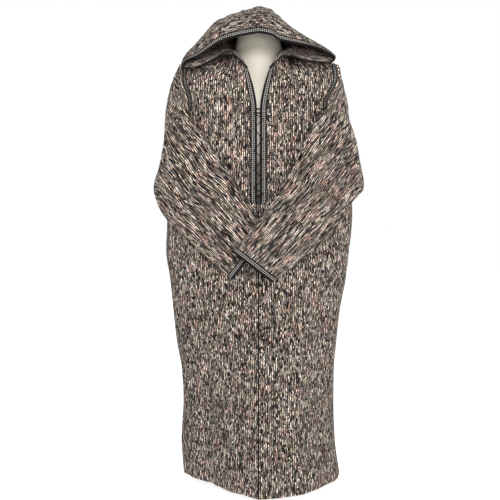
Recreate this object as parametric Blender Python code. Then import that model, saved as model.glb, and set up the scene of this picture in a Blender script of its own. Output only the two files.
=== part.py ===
"""Hooded djellaba robe on a limbless dress form.

The robe is thick wool cloth: two fronts with a laced V neck, a back, two flattened sleeves folded
across the front, and a hood in two halves that has sunk over the form's neck. Braid is sewn on the
V, the hood's rim, the cuffs, the armholes and the centre seam. The form is a bust on a pole and a
round base. Metres, +Z up, the robe faces -Y, and left and right are the wearer's, so the wearer's
left is +X. The origin is on the floor under the middle of the base.
"""
import math

import bmesh
import bpy
import numpy as np

COLLECTION = "hooded_djellaba_on_dress_form"

# Cloth, seams and braid
WALL = 0.0024
SEAM_GAP = 0.0003
HOOD_SHARE = 1.8
MITRE_LIMIT = 1.5
BRAID_WIDTH = 0.018
BRAID_THICK = 0.0014
CENTRE_BRAID_WIDTH = 0.005
ARM_BRAID_WIDTH = 0.012
ARM_BRAID_LEVEL = 1.26
LACE_DIAMETER = 0.0020
# The lace's turns from the top down: side (-1 is the wearer's right) and height
LACE_TURNS = ((-1, 1.2575), (1, 1.2575), (1, 1.244), (-1, 1.244), (1, 1.225), (-1, 1.194),
              (1, 1.158), (-1, 1.122), (1, 1.093), (-1, 1.060), (1, 1.028), (-1, 0.999), (1, 0.981))
LACE_LEG = 0.004
LACE_END = (0.036, 0.022)
SLEEVE_CLEAR = 0.004
UNDER_SLEEVE_STACK = 0.030

# Body of the robe below the underarm, one row for each level
BODY_COLUMNS = ("height", "right_half", "left_half", "front", "back", "right_power", "left_power",
                "side_y", "half_gap")
BODY_ROWS = (
    (0.022, 0.262, 0.284, 0.236, 0.170, 1.08, 1.70, 0.030, 0.0),
    (0.140, 0.270, 0.268, 0.231, 0.175, 1.10, 1.65, 0.028, 0.0),
    (0.278, 0.263, 0.263, 0.222, 0.175, 1.15, 1.60, 0.026, 0.0),
    (0.382, 0.268, 0.264, 0.214, 0.170, 1.20, 1.60, 0.024, 0.0),
    (0.487, 0.286, 0.273, 0.204, 0.165, 1.25, 1.60, 0.020, 0.0),
    (0.591, 0.297, 0.284, 0.195, 0.158, 1.35, 1.65, 0.016, 0.0),
    (0.700, 0.308, 0.304, 0.184, 0.150, 1.45, 1.70, 0.012, 0.0),
    (0.800, 0.321, 0.315, 0.175, 0.143, 1.55, 1.80, 0.008, 0.0),
    (0.880, 0.318, 0.324, 0.168, 0.138, 1.70, 1.85, 0.006, 0.0),
    (0.935, 0.316, 0.326, 0.164, 0.134, 1.75, 1.90, 0.005, 0.0),
    (0.960, 0.314, 0.325, 0.162, 0.132, 1.80, 1.90, 0.004, 0.008),
    (1.060, 0.300, 0.306, 0.155, 0.127, 1.95, 1.95, 0.002, 0.008),
    (1.160, 0.278, 0.282, 0.148, 0.122, 2.00, 2.00, 0.000, 0.008),
)
# The section that the sleeves keep clear of just above the underarm
CHEST_SECTION = (1.285, 0.270, 0.266, 0.143, 0.118, 2.00, 2.00, 0.000, 0.008)
HEM, UNDERARM = BODY_ROWS[0][0], BODY_ROWS[-1][0]
BACK_POWER = 2.2

# Rows above the underarm: the middle and the armhole edge of the fronts and the back
UPPER_COLUMNS = ("height", "half_gap", "mid_y", "mid_z", "right_edge", "left_edge", "edge_y",
                 "edge_z", "power", "back_y", "back_z", "back_edge_y")
UPPER_ROWS = (
    (1.270, 0.0085, -0.143, 1.260, 0.232, 0.226, -0.075, 1.285, 1.6, 0.118, 1.270, 0.065),
    (1.360, 0.0200, -0.131, 1.335, 0.254, 0.264, -0.060, 1.385, 1.5, 0.108, 1.385, 0.055),
)
TOP_LEVEL = 1.440
V_BEND = (0.034, -0.117, 1.388)
NECK_POINT = (0.095, 0.0, 1.487)
SHOULDER_TIP = (0.252, 0.0, 1.440)
BACK_NECK = (0.0, 0.086, 1.476)
V_BOTTOM = 0.935
V_FOOT_ROW = [row[0] for row in BODY_ROWS].index(V_BOTTOM)
SHOULDER_ROUND = 0.022
ROUND_START, ROUND_RUN = 0.075, 0.045

# Soft vertical folds: place round the skirt in degrees from the front towards the wearer's left,
# half width in degrees, depth at the hem and the height at which the fold ends
FOLD_COLUMNS = ("angle", "half_width", "depth", "top")
FOLDS = (
    (-28, 13, 0.006, 0.80),
    (-62, 12, -0.008, 0.85),
    (-82, 10, 0.006, 0.80),
    (-112, 16, -0.012, 0.95),
    (-140, 15, 0.011, 1.05),
    (-166, 14, -0.012, 1.00),
    (172, 13, 0.010, 1.10),
    (146, 16, -0.013, 1.00),
    (118, 15, 0.010, 0.90),
    (64, 14, -0.007, 0.75),
    (36, 12, 0.006, 0.80),
)

# Sleeve rings: outer edge, underarm edge, how far each lies before the body, and how far the
# middle of the front layer and of the back layer stand off the line between the edges
SLEEVE_COLUMNS = ("out_x", "out_z", "out_lift", "in_x", "in_z", "in_lift", "front", "back")
RIGHT_SLEEVE = (
    (-0.305, 1.351, -0.020, -0.244, 1.262, 0.026, (0.004, -0.030, 0.0), (-0.05, 0.085, -0.10)),
    (-0.317, 1.239, -0.010, -0.219, 1.224, 0.022, (0.000, -0.030, 0.0), (-0.05, 0.085, -0.08)),
    (-0.337, 1.107, 0.000, -0.192, 1.184, 0.018, (0.000, -0.030, 0.0), (-0.03, 0.065, -0.05)),
    (-0.356, 1.014, 0.005, -0.168, 1.152, 0.016, (0.000, -0.024, 0.0), (-0.01, 0.035, -0.02)),
    (-0.339, 0.948, 0.012, -0.147, 1.123, 0.015, (0.000, -0.018, 0.0), (0.00, 0.018, 0.00)),
    (-0.300, 0.890, 0.015, -0.124, 1.096, 0.015, (0.000, -0.012, 0.0), (0.00, 0.012, 0.00)),
    (-0.243, 0.846, 0.015, -0.088, 1.044, 0.015, (0.000, -0.010, 0.0), (0.00, 0.010, 0.00)),
    (-0.189, 0.794, 0.015, -0.053, 0.992, 0.015, (0.000, -0.010, 0.0), (0.00, 0.010, 0.00)),
    (-0.137, 0.749, 0.015, -0.021, 0.944, 0.015, (0.000, -0.010, 0.0), (0.00, 0.010, 0.00)),
    (-0.085, 0.707, 0.014, 0.014, 0.838, 0.014, (0.000, -0.008, 0.0), (0.00, 0.008, 0.00)),
)
LEFT_SLEEVE = (
    (0.291, 1.368, -0.020, 0.238, 1.272, 0.026, (-0.004, -0.030, 0.0), (0.05, 0.085, -0.10)),
    (0.307, 1.273, -0.010, 0.200, 1.238, 0.022, (0.000, -0.030, 0.0), (0.05, 0.085, -0.09)),
    (0.330, 1.182, 0.000, 0.169, 1.191, 0.018, (0.000, -0.030, 0.0), (0.03, 0.070, -0.06)),
    (0.349, 1.079, 0.005, 0.145, 1.139, 0.016, (0.000, -0.024, 0.0), (0.02, 0.050, -0.04)),
    (0.358, 1.010, 0.010, 0.118, 1.088, 0.016, (0.000, -0.020, 0.0), (0.00, 0.022, -0.02)),
    (0.310, 0.953, 0.018, 0.082, 1.022, 0.024, (0.000, -0.012, 0.0), (0.00, 0.012, 0.00)),
    (0.249, 0.865, 0.020, 0.040, 0.949, 0.034, (0.000, -0.012, 0.0), (0.00, 0.012, 0.00)),
    (0.188, 0.806, 0.022, -0.002, 0.892, 0.038, (0.000, -0.010, 0.0), (0.00, 0.010, 0.00)),
    (0.120, 0.752, 0.028, -0.040, 0.844, 0.040, (0.000, -0.010, 0.0), (0.00, 0.010, 0.00)),
    (0.046, 0.699, 0.034, -0.082, 0.797, 0.040, (0.000, -0.008, 0.0), (0.00, 0.008, 0.00)),
)
EDGE_ROUND = 0.75
ARMHOLE_ROLL = (0.012, -0.004, -0.002)

# Hood ribs, from the V round the rim to the top of the crown: place along the rim, the rim point,
# the front pull of the rib's curve, and its back pull measured from where the rib is sewn on
HOOD_COLUMNS = ("along", "rim", "front_pull", "stand")
RIGHT_HOOD = (
    (0.00, (-0.036, -0.119, 1.398), (-0.036, -0.119, 1.396), (0.000, 0.000, 0.004)),
    (0.10, (-0.062, -0.122, 1.425), (-0.056, -0.118, 1.428), (0.000, 0.002, 0.012)),
    (0.17, (-0.098, -0.120, 1.452), (-0.088, -0.108, 1.462), (0.004, 0.004, 0.022)),
    (0.27, (-0.149, -0.110, 1.427), (-0.140, -0.080, 1.455), (0.006, 0.004, 0.030)),
    (0.41, (-0.222, -0.102, 1.402), (-0.225, -0.050, 1.455), (-0.004, 0.000, 0.035)),
    (0.46, (-0.241, -0.098, 1.403), (-0.266, -0.030, 1.450), (-0.028, 0.010, 0.034)),
    (0.51, (-0.251, -0.094, 1.413), (-0.292, -0.016, 1.466), (-0.050, 0.028, 0.034)),
    (0.56, (-0.240, -0.098, 1.427), (-0.282, -0.018, 1.490), (-0.060, 0.045, 0.040)),
    (0.64, (-0.203, -0.106, 1.440), (-0.262, -0.022, 1.528), (-0.070, 0.070, 0.050)),
    (0.74, (-0.120, -0.118, 1.489), (-0.160, -0.060, 1.645), (-0.050, 0.110, 0.120)),
    (0.87, (-0.061, -0.120, 1.505), (-0.075, -0.080, 1.705), (-0.025, 0.150, 0.180)),
    (1.00, (-0.000, -0.120, 1.516), (-0.005, -0.080, 1.735), (0.000, 0.180, 0.215)),
)
LEFT_HOOD = (
    (0.00, (0.036, -0.119, 1.398), (0.036, -0.119, 1.396), (0.000, 0.000, 0.004)),
    (0.09, (0.058, -0.122, 1.418), (0.054, -0.118, 1.421), (0.000, 0.002, 0.012)),
    (0.16, (0.084, -0.120, 1.438), (0.078, -0.108, 1.447), (-0.004, 0.004, 0.020)),
    (0.22, (0.107, -0.116, 1.438), (0.101, -0.098, 1.452), (-0.006, 0.004, 0.024)),
    (0.31, (0.160, -0.110, 1.424), (0.152, -0.070, 1.456), (-0.004, 0.004, 0.030)),
    (0.41, (0.234, -0.100, 1.420), (0.240, -0.040, 1.462), (0.004, 0.000, 0.035)),
    (0.46, (0.248, -0.097, 1.426), (0.262, -0.030, 1.466), (0.025, 0.010, 0.035)),
    (0.51, (0.253, -0.094, 1.437), (0.285, -0.015, 1.482), (0.045, 0.028, 0.035)),
    (0.56, (0.238, -0.099, 1.450), (0.270, -0.018, 1.500), (0.052, 0.045, 0.042)),
    (0.64, (0.195, -0.108, 1.468), (0.225, -0.030, 1.540), (0.055, 0.075, 0.055)),
    (0.78, (0.137, -0.118, 1.478), (0.115, -0.060, 1.620), (0.032, 0.120, 0.120)),
    (0.88, (0.071, -0.124, 1.490), (0.055, -0.080, 1.685), (0.026, 0.150, 0.172)),
    (0.93, (0.044, -0.122, 1.507), (0.034, -0.080, 1.712), (0.016, 0.165, 0.194)),
    (1.00, (0.000, -0.120, 1.516), (-0.005, -0.080, 1.735), (0.000, 0.180, 0.215)),
)
RIM_CROWDING = 0.7
BRAID_SHARE = 0.6
FINE_STEPS = 60

# Dress form: height, half width, front depth, back depth, power. The shoulder rings have no height,
# because their ends follow the shoulder seam that rests on them, each this far below it.
BUST_ROWS = (
    (0.800, 0.145, 0.100, 0.095, 2.2),
    (0.830, 0.158, 0.110, 0.105, 2.2),
    (0.920, 0.164, 0.114, 0.110, 2.2),
    (1.050, 0.152, 0.104, 0.098, 2.2),
    (1.180, 0.168, 0.112, 0.100, 2.2),
    (1.280, 0.185, 0.112, 0.100, 2.2),
    (1.350, 0.196, 0.094, 0.086, 2.1),
    (1.400, 0.204, 0.070, 0.066, 1.8),
)
SHOULDER_ROWS = (
    (0.200, 0.046, 0.046, 1.1, 0.0004),
    (0.160, 0.040, 0.040, 1.1, 0.0004),
    (0.125, 0.024, 0.024, 1.0, 0.0020),
    (0.086, 0.030, 0.034, 1.8, 0.0060),
)
NECK_ROWS = (
    (1.500, 0.080, 0.048, 0.054, 2.1),
    (1.522, 0.075, 0.050, 0.054, 2.1),
    (1.545, 0.072, 0.050, 0.054, 2.1),
    (1.560, 0.066, 0.046, 0.050, 2.1),
    (1.570, 0.046, 0.032, 0.036, 2.1),
)
BUST_SIDES = 32
POLE_RADIUS = 0.0145
BASE_RADIUS = 0.140
BASE_HEIGHT = 0.012
BASE_BEVEL = 0.004
COLLAR_RADIUS = 0.030
COLLAR_HEIGHT = 0.030

# Mesh density
ARM_STEPS = 10
FRONT_NECK_STEPS = 3
SHOULDER_STEPS = 6
BACK_NECK_STEPS = 4
RING_STEPS = 2
HOOD_ACROSS = 11
# Quads are cut by how their corners rise this way, so walls that meet or lie on one another match
CUT_WAY = (0.11, 0.37, 1.0)

COLOURS = {
    "wool": ((0.36, 0.31, 0.28), 0.95, 0.0),
    "braid": ((0.10, 0.10, 0.10), 0.75, 0.0),
    "lace": ((0.04, 0.04, 0.04), 0.6, 0.0),
    "form": ((0.78, 0.76, 0.68), 0.45, 0.0),
    "steel": ((0.55, 0.55, 0.56), 0.3, 1.0),
}


def named(columns, rows, name):
    """One named column of a table as an array."""
    return np.array([row[columns.index(name)] for row in rows], float)


def unit(vectors):
    lengths = np.linalg.norm(vectors, axis=-1, keepdims=True)
    return vectors / np.maximum(lengths, 1e-12)


def smooth_step(x):
    x = np.clip(x, 0.0, 1.0)
    return x * x * (3.0 - 2.0 * x)


def through(places, values, at):
    """Smooth curve through values at places that never overshoots them (monotone cubic)."""
    places = np.asarray(places, float)
    values = np.asarray(values, float)
    at = np.atleast_1d(np.asarray(at, float))
    shape = (-1,) + (1,) * (values.ndim - 1)
    gaps = np.diff(places).reshape(shape)
    rise = np.diff(values, axis=0) / gaps
    slopes = np.zeros_like(values)
    slopes[0], slopes[-1] = rise[0], rise[-1]
    before, after = rise[:-1], rise[1:]
    w1 = 2.0 * gaps[1:] + gaps[:-1]
    w2 = gaps[1:] + 2.0 * gaps[:-1]
    same = before * after > 0.0
    safe_before = np.where(same, before, 1.0)
    safe_after = np.where(same, after, 1.0)
    slopes[1:-1] = np.where(same, (w1 + w2) / (w1 / safe_before + w2 / safe_after), 0.0)
    index = np.clip(np.searchsorted(places, at, side="right") - 1, 0, len(places) - 2)
    step = (places[index + 1] - places[index]).reshape(shape)
    t = ((at - places[index]).reshape(shape)) / step
    return ((1 + 2 * t) * (1 - t) ** 2 * values[index] + t * (1 - t) ** 2 * step * slopes[index]
            + t * t * (3 - 2 * t) * values[index + 1] + t * t * (t - 1) * step * slopes[index + 1])


def side_name(side):
    return "left" if side > 0 else "right"


def section_at(heights, side):
    """Half width, front depth, back depth, power and side seam of the body at some heights."""
    rows = BODY_ROWS + (CHEST_SECTION,)
    levels = named(BODY_COLUMNS, rows, "height")
    heights = np.clip(heights, levels[0], levels[-1])
    names = (side_name(side) + "_half", "front", "back", side_name(side) + "_power", "side_y")
    return [through(levels, named(BODY_COLUMNS, rows, name), heights) for name in names]


def curve_depth(x, half, depth, power):
    share = np.clip(np.abs(x) / half, 0.0, 1.0)
    return depth * (1.0 - share ** power) ** (1.0 / power)


def body_front_y(x, z):
    """Y of the body's front surface, without its folds."""
    x, z = np.broadcast_arrays(np.asarray(x, float), np.asarray(z, float))
    flat_x, flat_z = x.ravel(), z.ravel()
    result = np.zeros_like(flat_x)
    for side in (-1, 1):
        mask = (flat_x * side) >= 0
        half, front, _, power, side_y = section_at(flat_z[mask], side)
        inside = np.minimum(np.abs(flat_x[mask]), 0.97 * half)
        result[mask] = side_y - curve_depth(inside, half, front + side_y, power)
    return result.reshape(x.shape)


def push_clear(points, clear):
    """Move points out of the body's section, plus a clearance for each."""
    flat = points.reshape(-1, 3).copy()
    clear = np.broadcast_to(clear, points.shape[:-1]).ravel()
    for side in (-1, 1):
        mask = (flat[:, 0] * side) >= 0
        x, y, z = flat[mask].T
        half, front, back, power, side_y = section_at(z, side)
        ahead = y < side_y
        depth = np.where(ahead, front + side_y, back - side_y) + clear[mask]
        power = np.where(ahead, power, BACK_POWER)
        wide = half + clear[mask]
        offset = y - side_y
        reach = (np.abs(x / wide) ** power + np.abs(offset / depth) ** power) ** (1.0 / power)
        grow = np.where(reach < 1.0, 1.0 / np.maximum(reach, 1e-6), 1.0)
        flat[mask, 0] = x * grow
        flat[mask, 1] = side_y + offset * grow
    return flat.reshape(points.shape)


def fold_body(points):
    """Lay the soft vertical folds into points of the skirt."""
    x, y, z = np.moveaxis(points, -1, 0)
    angle = np.degrees(np.arctan2(x, -y))
    amount = np.zeros_like(x)
    for place, half_width, depth, top in FOLDS:
        away = np.abs((angle - place + 180.0) % 360.0 - 180.0) / half_width
        shape = np.where(away < 1.0, 0.5 + 0.5 * np.cos(math.pi * np.minimum(away, 1.0)), 0.0)
        amount += depth * shape * smooth_step((top - z) / (top - HEM))
    radius = np.hypot(x, y)
    grow = 1.0 + amount / radius
    return np.stack((x * grow, y * grow, z), axis=-1)


def spread(distances, shares, start, end, end_braid):
    """Places from start: fixed distances, then shares of what is left, then the edge braid."""
    last = distances[-1]
    middle = start + last + (end - end_braid - start - last) * np.asarray(shares)
    return np.concatenate((start + np.asarray(distances[:-1]), middle, [end]))


def front_rows(side, distances, neck_steps, shoulder_steps):
    """Key rows of a front panel: [row, column, xyz], the columns run from the middle out."""
    shares = np.arange(neck_steps + shoulder_steps + 1) / (neck_steps + shoulder_steps)
    eased = np.sin(0.5 * math.pi * shares)
    rows, levels = [], []
    for row in BODY_ROWS:
        item = dict(zip(BODY_COLUMNS, row))
        half = item[side_name(side) + "_half"]
        x = spread(distances, eased, item["half_gap"], half, ARM_BRAID_WIDTH)
        y = item["side_y"] - curve_depth(x, half, item["front"] + item["side_y"],
                                         item[side_name(side) + "_power"])
        rows.append(fold_body(np.stack((side * x, y, np.full_like(x, item["height"])), -1)))
        levels.append(item["height"])
    for row in UPPER_ROWS:
        item = dict(zip(UPPER_COLUMNS, row))
        edge = item[side_name(side) + "_edge"]
        x = spread(distances, eased, item["half_gap"], edge, ARM_BRAID_WIDTH)
        share = (x - item["half_gap"]) / (edge - item["half_gap"])
        y = item["edge_y"] + (item["mid_y"] - item["edge_y"]) * curve_depth(
            share, 1.0, 1.0, item["power"])
        z = item["mid_z"] + (item["edge_z"] - item["mid_z"]) * share ** 2
        rows.append(np.stack((side * x, y, z), -1))
        levels.append(item["height"])
    neck_x = V_BEND[0] + distances[-1] + (NECK_POINT[0] - V_BEND[0] - distances[-1]) * (
        np.arange(neck_steps) / neck_steps)
    shoulder_x = NECK_POINT[0] + (SHOULDER_TIP[0] - ARM_BRAID_WIDTH - NECK_POINT[0]) * (
        np.arange(shoulder_steps + 1) / shoulder_steps)
    x = np.concatenate((V_BEND[0] + np.asarray(distances[:-1]), neck_x, shoulder_x,
                        [SHOULDER_TIP[0]]))
    share = np.clip((x - V_BEND[0]) / (NECK_POINT[0] - V_BEND[0]), 0.0, 1.0)
    y = V_BEND[1] * np.sqrt(1.0 - share ** 2)
    add_top(rows, levels, np.stack((side * x, y, shoulder_height(x, share)), -1), -1.0)
    return levels, np.array(rows)


def add_top(rows, levels, top, facing):
    """Add the top row, and one before it that rounds the cloth over the form's shoulder."""
    halfway = 0.5 * (rows[-1] + top)
    over_shoulder = smooth_step((np.abs(top[:, 0]) - ROUND_START) / ROUND_RUN)
    halfway += over_shoulder[:, None] * SHOULDER_ROUND * np.array((0.0, facing, 0.6))
    levels += [0.5 * (levels[-1] + TOP_LEVEL), TOP_LEVEL]
    rows += [halfway, top]


def shoulder_height(x, share):
    """Height of the front's top edge: up the neckline, then down the shoulder seam."""
    neckline = V_BEND[2] + (NECK_POINT[2] - V_BEND[2]) * share ** 1.1
    fall = (NECK_POINT[2] - SHOULDER_TIP[2]) / (SHOULDER_TIP[0] - NECK_POINT[0])
    return np.where(x > NECK_POINT[0], NECK_POINT[2] - fall * (x - NECK_POINT[0]), neckline)


def back_rows(side, neck_steps, shoulder_steps):
    """Key rows of half of the back, from the centre back out to the side."""
    count = neck_steps + shoulder_steps
    eased = np.sin(0.5 * math.pi * np.arange(count + 1) / count)
    rows, levels = [], []
    for row in BODY_ROWS:
        item = dict(zip(BODY_COLUMNS, row))
        half = item[side_name(side) + "_half"]
        x = spread((0.0,), eased, 0.0, half, ARM_BRAID_WIDTH)
        y = item["side_y"] + curve_depth(x, half, item["back"] - item["side_y"], BACK_POWER)
        rows.append(fold_body(np.stack((side * x, y, np.full_like(x, item["height"])), -1)))
        levels.append(item["height"])
    for row in UPPER_ROWS:
        item = dict(zip(UPPER_COLUMNS, row))
        edge = item[side_name(side) + "_edge"]
        x = spread((0.0,), eased, 0.0, edge, ARM_BRAID_WIDTH)
        share = x / edge
        y = item["back_edge_y"] + (item["back_y"] - item["back_edge_y"]) * curve_depth(
            share, 1.0, 1.0, BACK_POWER)
        z = item["back_z"] + (item["edge_z"] - item["back_z"]) * share ** 2
        rows.append(np.stack((side * x, y, z), -1))
        levels.append(item["height"])
    neck_x = NECK_POINT[0] * np.arange(neck_steps) / neck_steps
    shoulder_x = NECK_POINT[0] + (SHOULDER_TIP[0] - ARM_BRAID_WIDTH - NECK_POINT[0]) * (
        np.arange(shoulder_steps + 1) / shoulder_steps)
    x = np.concatenate((neck_x, shoulder_x, [SHOULDER_TIP[0]]))
    share = np.clip(x / NECK_POINT[0], 0.0, 1.0)
    y = BACK_NECK[1] * np.sqrt(1.0 - share ** 2)
    neckline = BACK_NECK[2] + (NECK_POINT[2] - BACK_NECK[2]) * share ** 2
    z = np.where(x > NECK_POINT[0], shoulder_height(x, np.ones_like(x)), neckline)
    add_top(rows, levels, np.stack((side * x, y, z), -1), 1.0)
    return levels, np.array(rows)


def body_levels():
    """Levels of the body's rows: the table's below the underarm, even steps above it."""
    below = [row[0] for row in BODY_ROWS]
    step = (TOP_LEVEL - UNDERARM) / ARM_STEPS
    return np.array(below + [UNDERARM + step * (i + 1) for i in range(ARM_STEPS)])


def sleeve_keys(side, table, armhole):
    """Key rings of a sleeve: the armhole's loop, its roll and a ring for each row of the table."""
    turn = np.linspace(0.0, math.pi, armhole.shape[0] // 2 + 1)
    across = 0.5 - 0.5 * np.cos(turn)
    bulge = np.sin(turn) ** EDGE_ROUND
    rings = [armhole, armhole + np.array(ARMHOLE_ROLL) * (side, 1.0, 1.0)]
    for row in table:
        item = dict(zip(SLEEVE_COLUMNS, row))
        out_y = float(body_front_y(item["out_x"], item["out_z"])) - item["out_lift"]
        in_y = float(body_front_y(item["in_x"], item["in_z"])) - item["in_lift"]
        outer = np.array((item["out_x"], out_y, item["out_z"]))
        inner = np.array((item["in_x"], in_y, item["in_z"]))
        straight = outer + (inner - outer) * across[:, None]
        lift = item["out_lift"] + (item["in_lift"] - item["out_lift"]) * across
        over_body = body_front_y(straight[:, 0], straight[:, 2]) - lift
        straight[:, 1] = np.minimum(straight[:, 1], over_body)
        front = straight + bulge[:, None] * np.array(item["front"])
        back = straight + bulge[:, None] * np.array(item["back"])
        rings.append(np.concatenate((front, back[-2:0:-1])))
    return np.array(rings)


def sleeve_grid(side, table, armhole, steps):
    """A sleeve's outer points: [ring, place round it, xyz], clear of the body and each other."""
    keys = sleeve_keys(side, table, armhole)
    rings = np.linspace(0, len(keys) - 1, (len(keys) - 1) * steps + 1)
    grid = through(np.arange(len(keys)), keys, rings)
    ease = smooth_step(rings / 0.8)[:, None]
    clear = SLEEVE_CLEAR * ease * np.ones(grid.shape[:2])
    if side > 0:
        over = smooth_step((0.075 - grid[..., 0]) / 0.085) * smooth_step((rings[:, None] - 6) / 1.5)
        clear = clear + (UNDER_SLEEVE_STACK - SLEEVE_CLEAR) * over
    moved = push_clear(grid, clear)
    grid = grid + (moved - grid) * ease[..., None]
    back_up = unit(grid[-2] - grid[-1])
    hem_rings = [grid[-1] + back_up * distance for distance in (BRAID_WIDTH, 0.5 * BRAID_WIDTH)]
    return np.concatenate((grid[:-1], hem_rings, grid[-1:]))


def hood_grid(table, neckline, across):
    """One half of the hood: [place along the rim, place across it, xyz]."""
    along = named(HOOD_COLUMNS, table, "along")
    controls = np.array([row[1:] for row in table])
    lengths = np.concatenate(([0.0], np.cumsum(np.linalg.norm(np.diff(neckline, axis=0), axis=1))))
    places = (lengths / lengths[-1]) ** RIM_CROWDING
    ribs = through(along, controls, places)
    rows = []
    for (rim, first, stand), base in zip(ribs, neckline):
        corners = np.array((rim, first, base + stand, base))
        fine = np.linspace(0.0, 1.0, FINE_STEPS + 1)
        run = np.linalg.norm(np.diff(bezier(corners, fine), axis=0), axis=1)
        run = np.concatenate(([0.0], np.cumsum(run)))
        braid = min(BRAID_WIDTH, BRAID_SHARE * run[-1])
        rest = braid + (run[-1] - braid) * np.arange(across - 1) / (across - 2)
        distances = np.concatenate(([0.0, 0.5 * braid], rest))
        rows.append(bezier(corners, np.interp(distances, run, fine)))
    return np.array(rows)


def bezier(corners, t):
    """Points of a cubic curve at places t."""
    t = t[:, None]
    return ((1 - t) ** 3 * corners[0] + 3 * (1 - t) ** 2 * t * corners[1]
            + 3 * (1 - t) * t ** 2 * corners[2] + t ** 3 * corners[3])


def with_middles(line):
    """A polyline with a point added halfway along each of its stretches."""
    middles = 0.5 * (line[1:] + line[:-1])
    result = np.empty((len(line) + len(middles), 3))
    result[0::2] = line
    result[1::2] = middles
    return result


def grid_normals(points, closed, outward):
    """Unit normals of a grid of points, on the side where outward is positive."""
    if closed:
        ring = np.roll(points, -1, axis=1) - np.roll(points, 1, axis=1)
    else:
        ring = np.gradient(points, axis=1)
    normals = unit(np.cross(ring, np.gradient(points, axis=0)))
    return normals * outward


class Cloth:
    """A cloth wall: outer points in a grid and, for each, the way to its inner point."""

    def __init__(self, name, points, closed, outward):
        self.name = name
        self.points = points
        self.closed = closed
        self.normals = grid_normals(points, closed, outward)
        self.inward = -WALL * self.normals
        self.shift = np.zeros_like(points)

    def outer(self):
        return self.points + self.shift

    def inner(self):
        return self.points + self.shift + self.inward


def share_mitres(cloths):
    """Where walls meet at a point, give them all one way in, so that their edges match."""
    meeting = {}
    for cloth in cloths:
        rows, columns = cloth.points.shape[:2]
        edges = {(r, c) for r in range(rows) for c in (0, columns - 1)}
        edges |= {(r, c) for c in range(columns) for r in (0, rows - 1)}
        for r, c in sorted(edges):
            key = tuple(np.round(cloth.points[r, c], 5))
            meeting.setdefault(key, []).append((cloth, r, c))
    for group in meeting.values():
        if len(group) < 2:
            continue
        normals = np.array([cloth.normals[r, c] for cloth, r, c in group])
        shared = unit(normals.sum(axis=0))
        lean = max(float((normals @ shared).mean()), 1.0 / MITRE_LIMIT)
        for cloth, r, c in group:
            cloth.inward[r, c] = -shared * WALL / lean


def part_seam(cloth, edge, share=0.5):
    """Draw an edge of a wall back by its share of the seam's gap."""
    views = {
        "first_row": (cloth.points[0], cloth.points[1], cloth.inward[0], cloth.shift[0]),
        "last_row": (cloth.points[-1], cloth.points[-2], cloth.inward[-1], cloth.shift[-1]),
        "first_column": (cloth.points[:, 0], cloth.points[:, 1], cloth.inward[:, 0],
                         cloth.shift[:, 0]),
        "last_column": (cloth.points[:, -1], cloth.points[:, -2], cloth.inward[:, -1],
                        cloth.shift[:, -1]),
    }
    line, beside, inward, shift = views[edge[0]]
    chosen = edge[1]
    if cloth.closed and edge[0].endswith("row"):
        tangent = np.roll(line, -1, axis=0) - np.roll(line, 1, axis=0)
    else:
        tangent = np.gradient(line[chosen], axis=0)
        line, beside, inward, shift = line[chosen], beside[chosen], inward[chosen], shift[chosen]
    away = unit(np.cross(tangent, inward))
    away *= np.sign(np.sum(away * (beside - line), axis=-1, keepdims=True))
    shift += share * SEAM_GAP * away


def material(name):
    """The plain material of one kind of surface."""
    found = bpy.data.materials.get(name)
    if found:
        return found
    colour, roughness, metallic = COLOURS[name]
    made = bpy.data.materials.new(name)
    made.use_nodes = True
    shader = made.node_tree.nodes["Principled BSDF"]
    shader.inputs["Base Color"].default_value = (*colour, 1.0)
    shader.inputs["Roughness"].default_value = roughness
    shader.inputs["Metallic"].default_value = metallic
    return made


def add_object(name, bm, kind):
    """Turn a finished bmesh into a named object in the part's collection."""
    bmesh.ops.recalc_face_normals(bm, faces=bm.faces)
    mesh = bpy.data.meshes.new(name)
    bm.to_mesh(mesh)
    bm.free()
    mesh.shade_smooth()
    mesh.set_sharp_from_angle(angle=math.radians(50))
    own = material(kind).copy()
    own.name = name + "_" + kind
    mesh.materials.append(own)
    thing = bpy.data.objects.new(name, mesh)
    bpy.data.collections[COLLECTION].objects.link(thing)
    return thing


def wall_mesh(outer, inner, closed):
    """A closed wall between two grids of points, each quad cut through its highest corner."""
    bm = bmesh.new()
    layers = [[[bm.verts.new(p) for p in row] for row in grid] for grid in (outer, inner)]
    rows, columns = outer.shape[:2]
    around = columns if closed else columns - 1
    height = outer @ np.array(CUT_WAY)
    for r in range(rows - 1):
        for c in range(around):
            spots = [(r, c), (r, (c + 1) % columns), (r + 1, (c + 1) % columns), (r + 1, c)]
            top = int(np.argmax([height[spot] for spot in spots]))
            for layer in layers:
                a, b, e, d = (layer[i][j] for i, j in spots[top:] + spots[:top])
                bm.faces.new((a, b, e))
                bm.faces.new((a, e, d))
    rims = [[(r, c) for c in (list(range(columns)) + ([0] if closed else []))]
            for r in (0, rows - 1)]
    if not closed:
        rims += [[(r, c) for r in range(rows)] for c in (0, columns - 1)]
    for rim in rims:
        for (r1, c1), (r2, c2) in zip(rim[:-1], rim[1:]):
            if height[r1, c1] > height[r2, c2]:
                r1, c1, r2, c2 = r2, c2, r1, c1
            corners = (layers[0][r1][c1], layers[0][r2][c2], layers[1][r2][c2], layers[1][r1][c1])
            bm.faces.new(corners[:3])
            bm.faces.new((corners[0], corners[2], corners[3]))
    return bm


def add_cloth(cloth):
    return add_object(cloth.name, wall_mesh(cloth.outer(), cloth.inner(), cloth.closed), "wool")


def add_braid(name, points, normals, closed=False):
    """Braid on a panel: the panel's own points moved out."""
    low = points + normals * SEAM_GAP
    high = points + normals * (SEAM_GAP + BRAID_THICK)
    return add_object(name, wall_mesh(high, low, closed), "braid")


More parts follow.
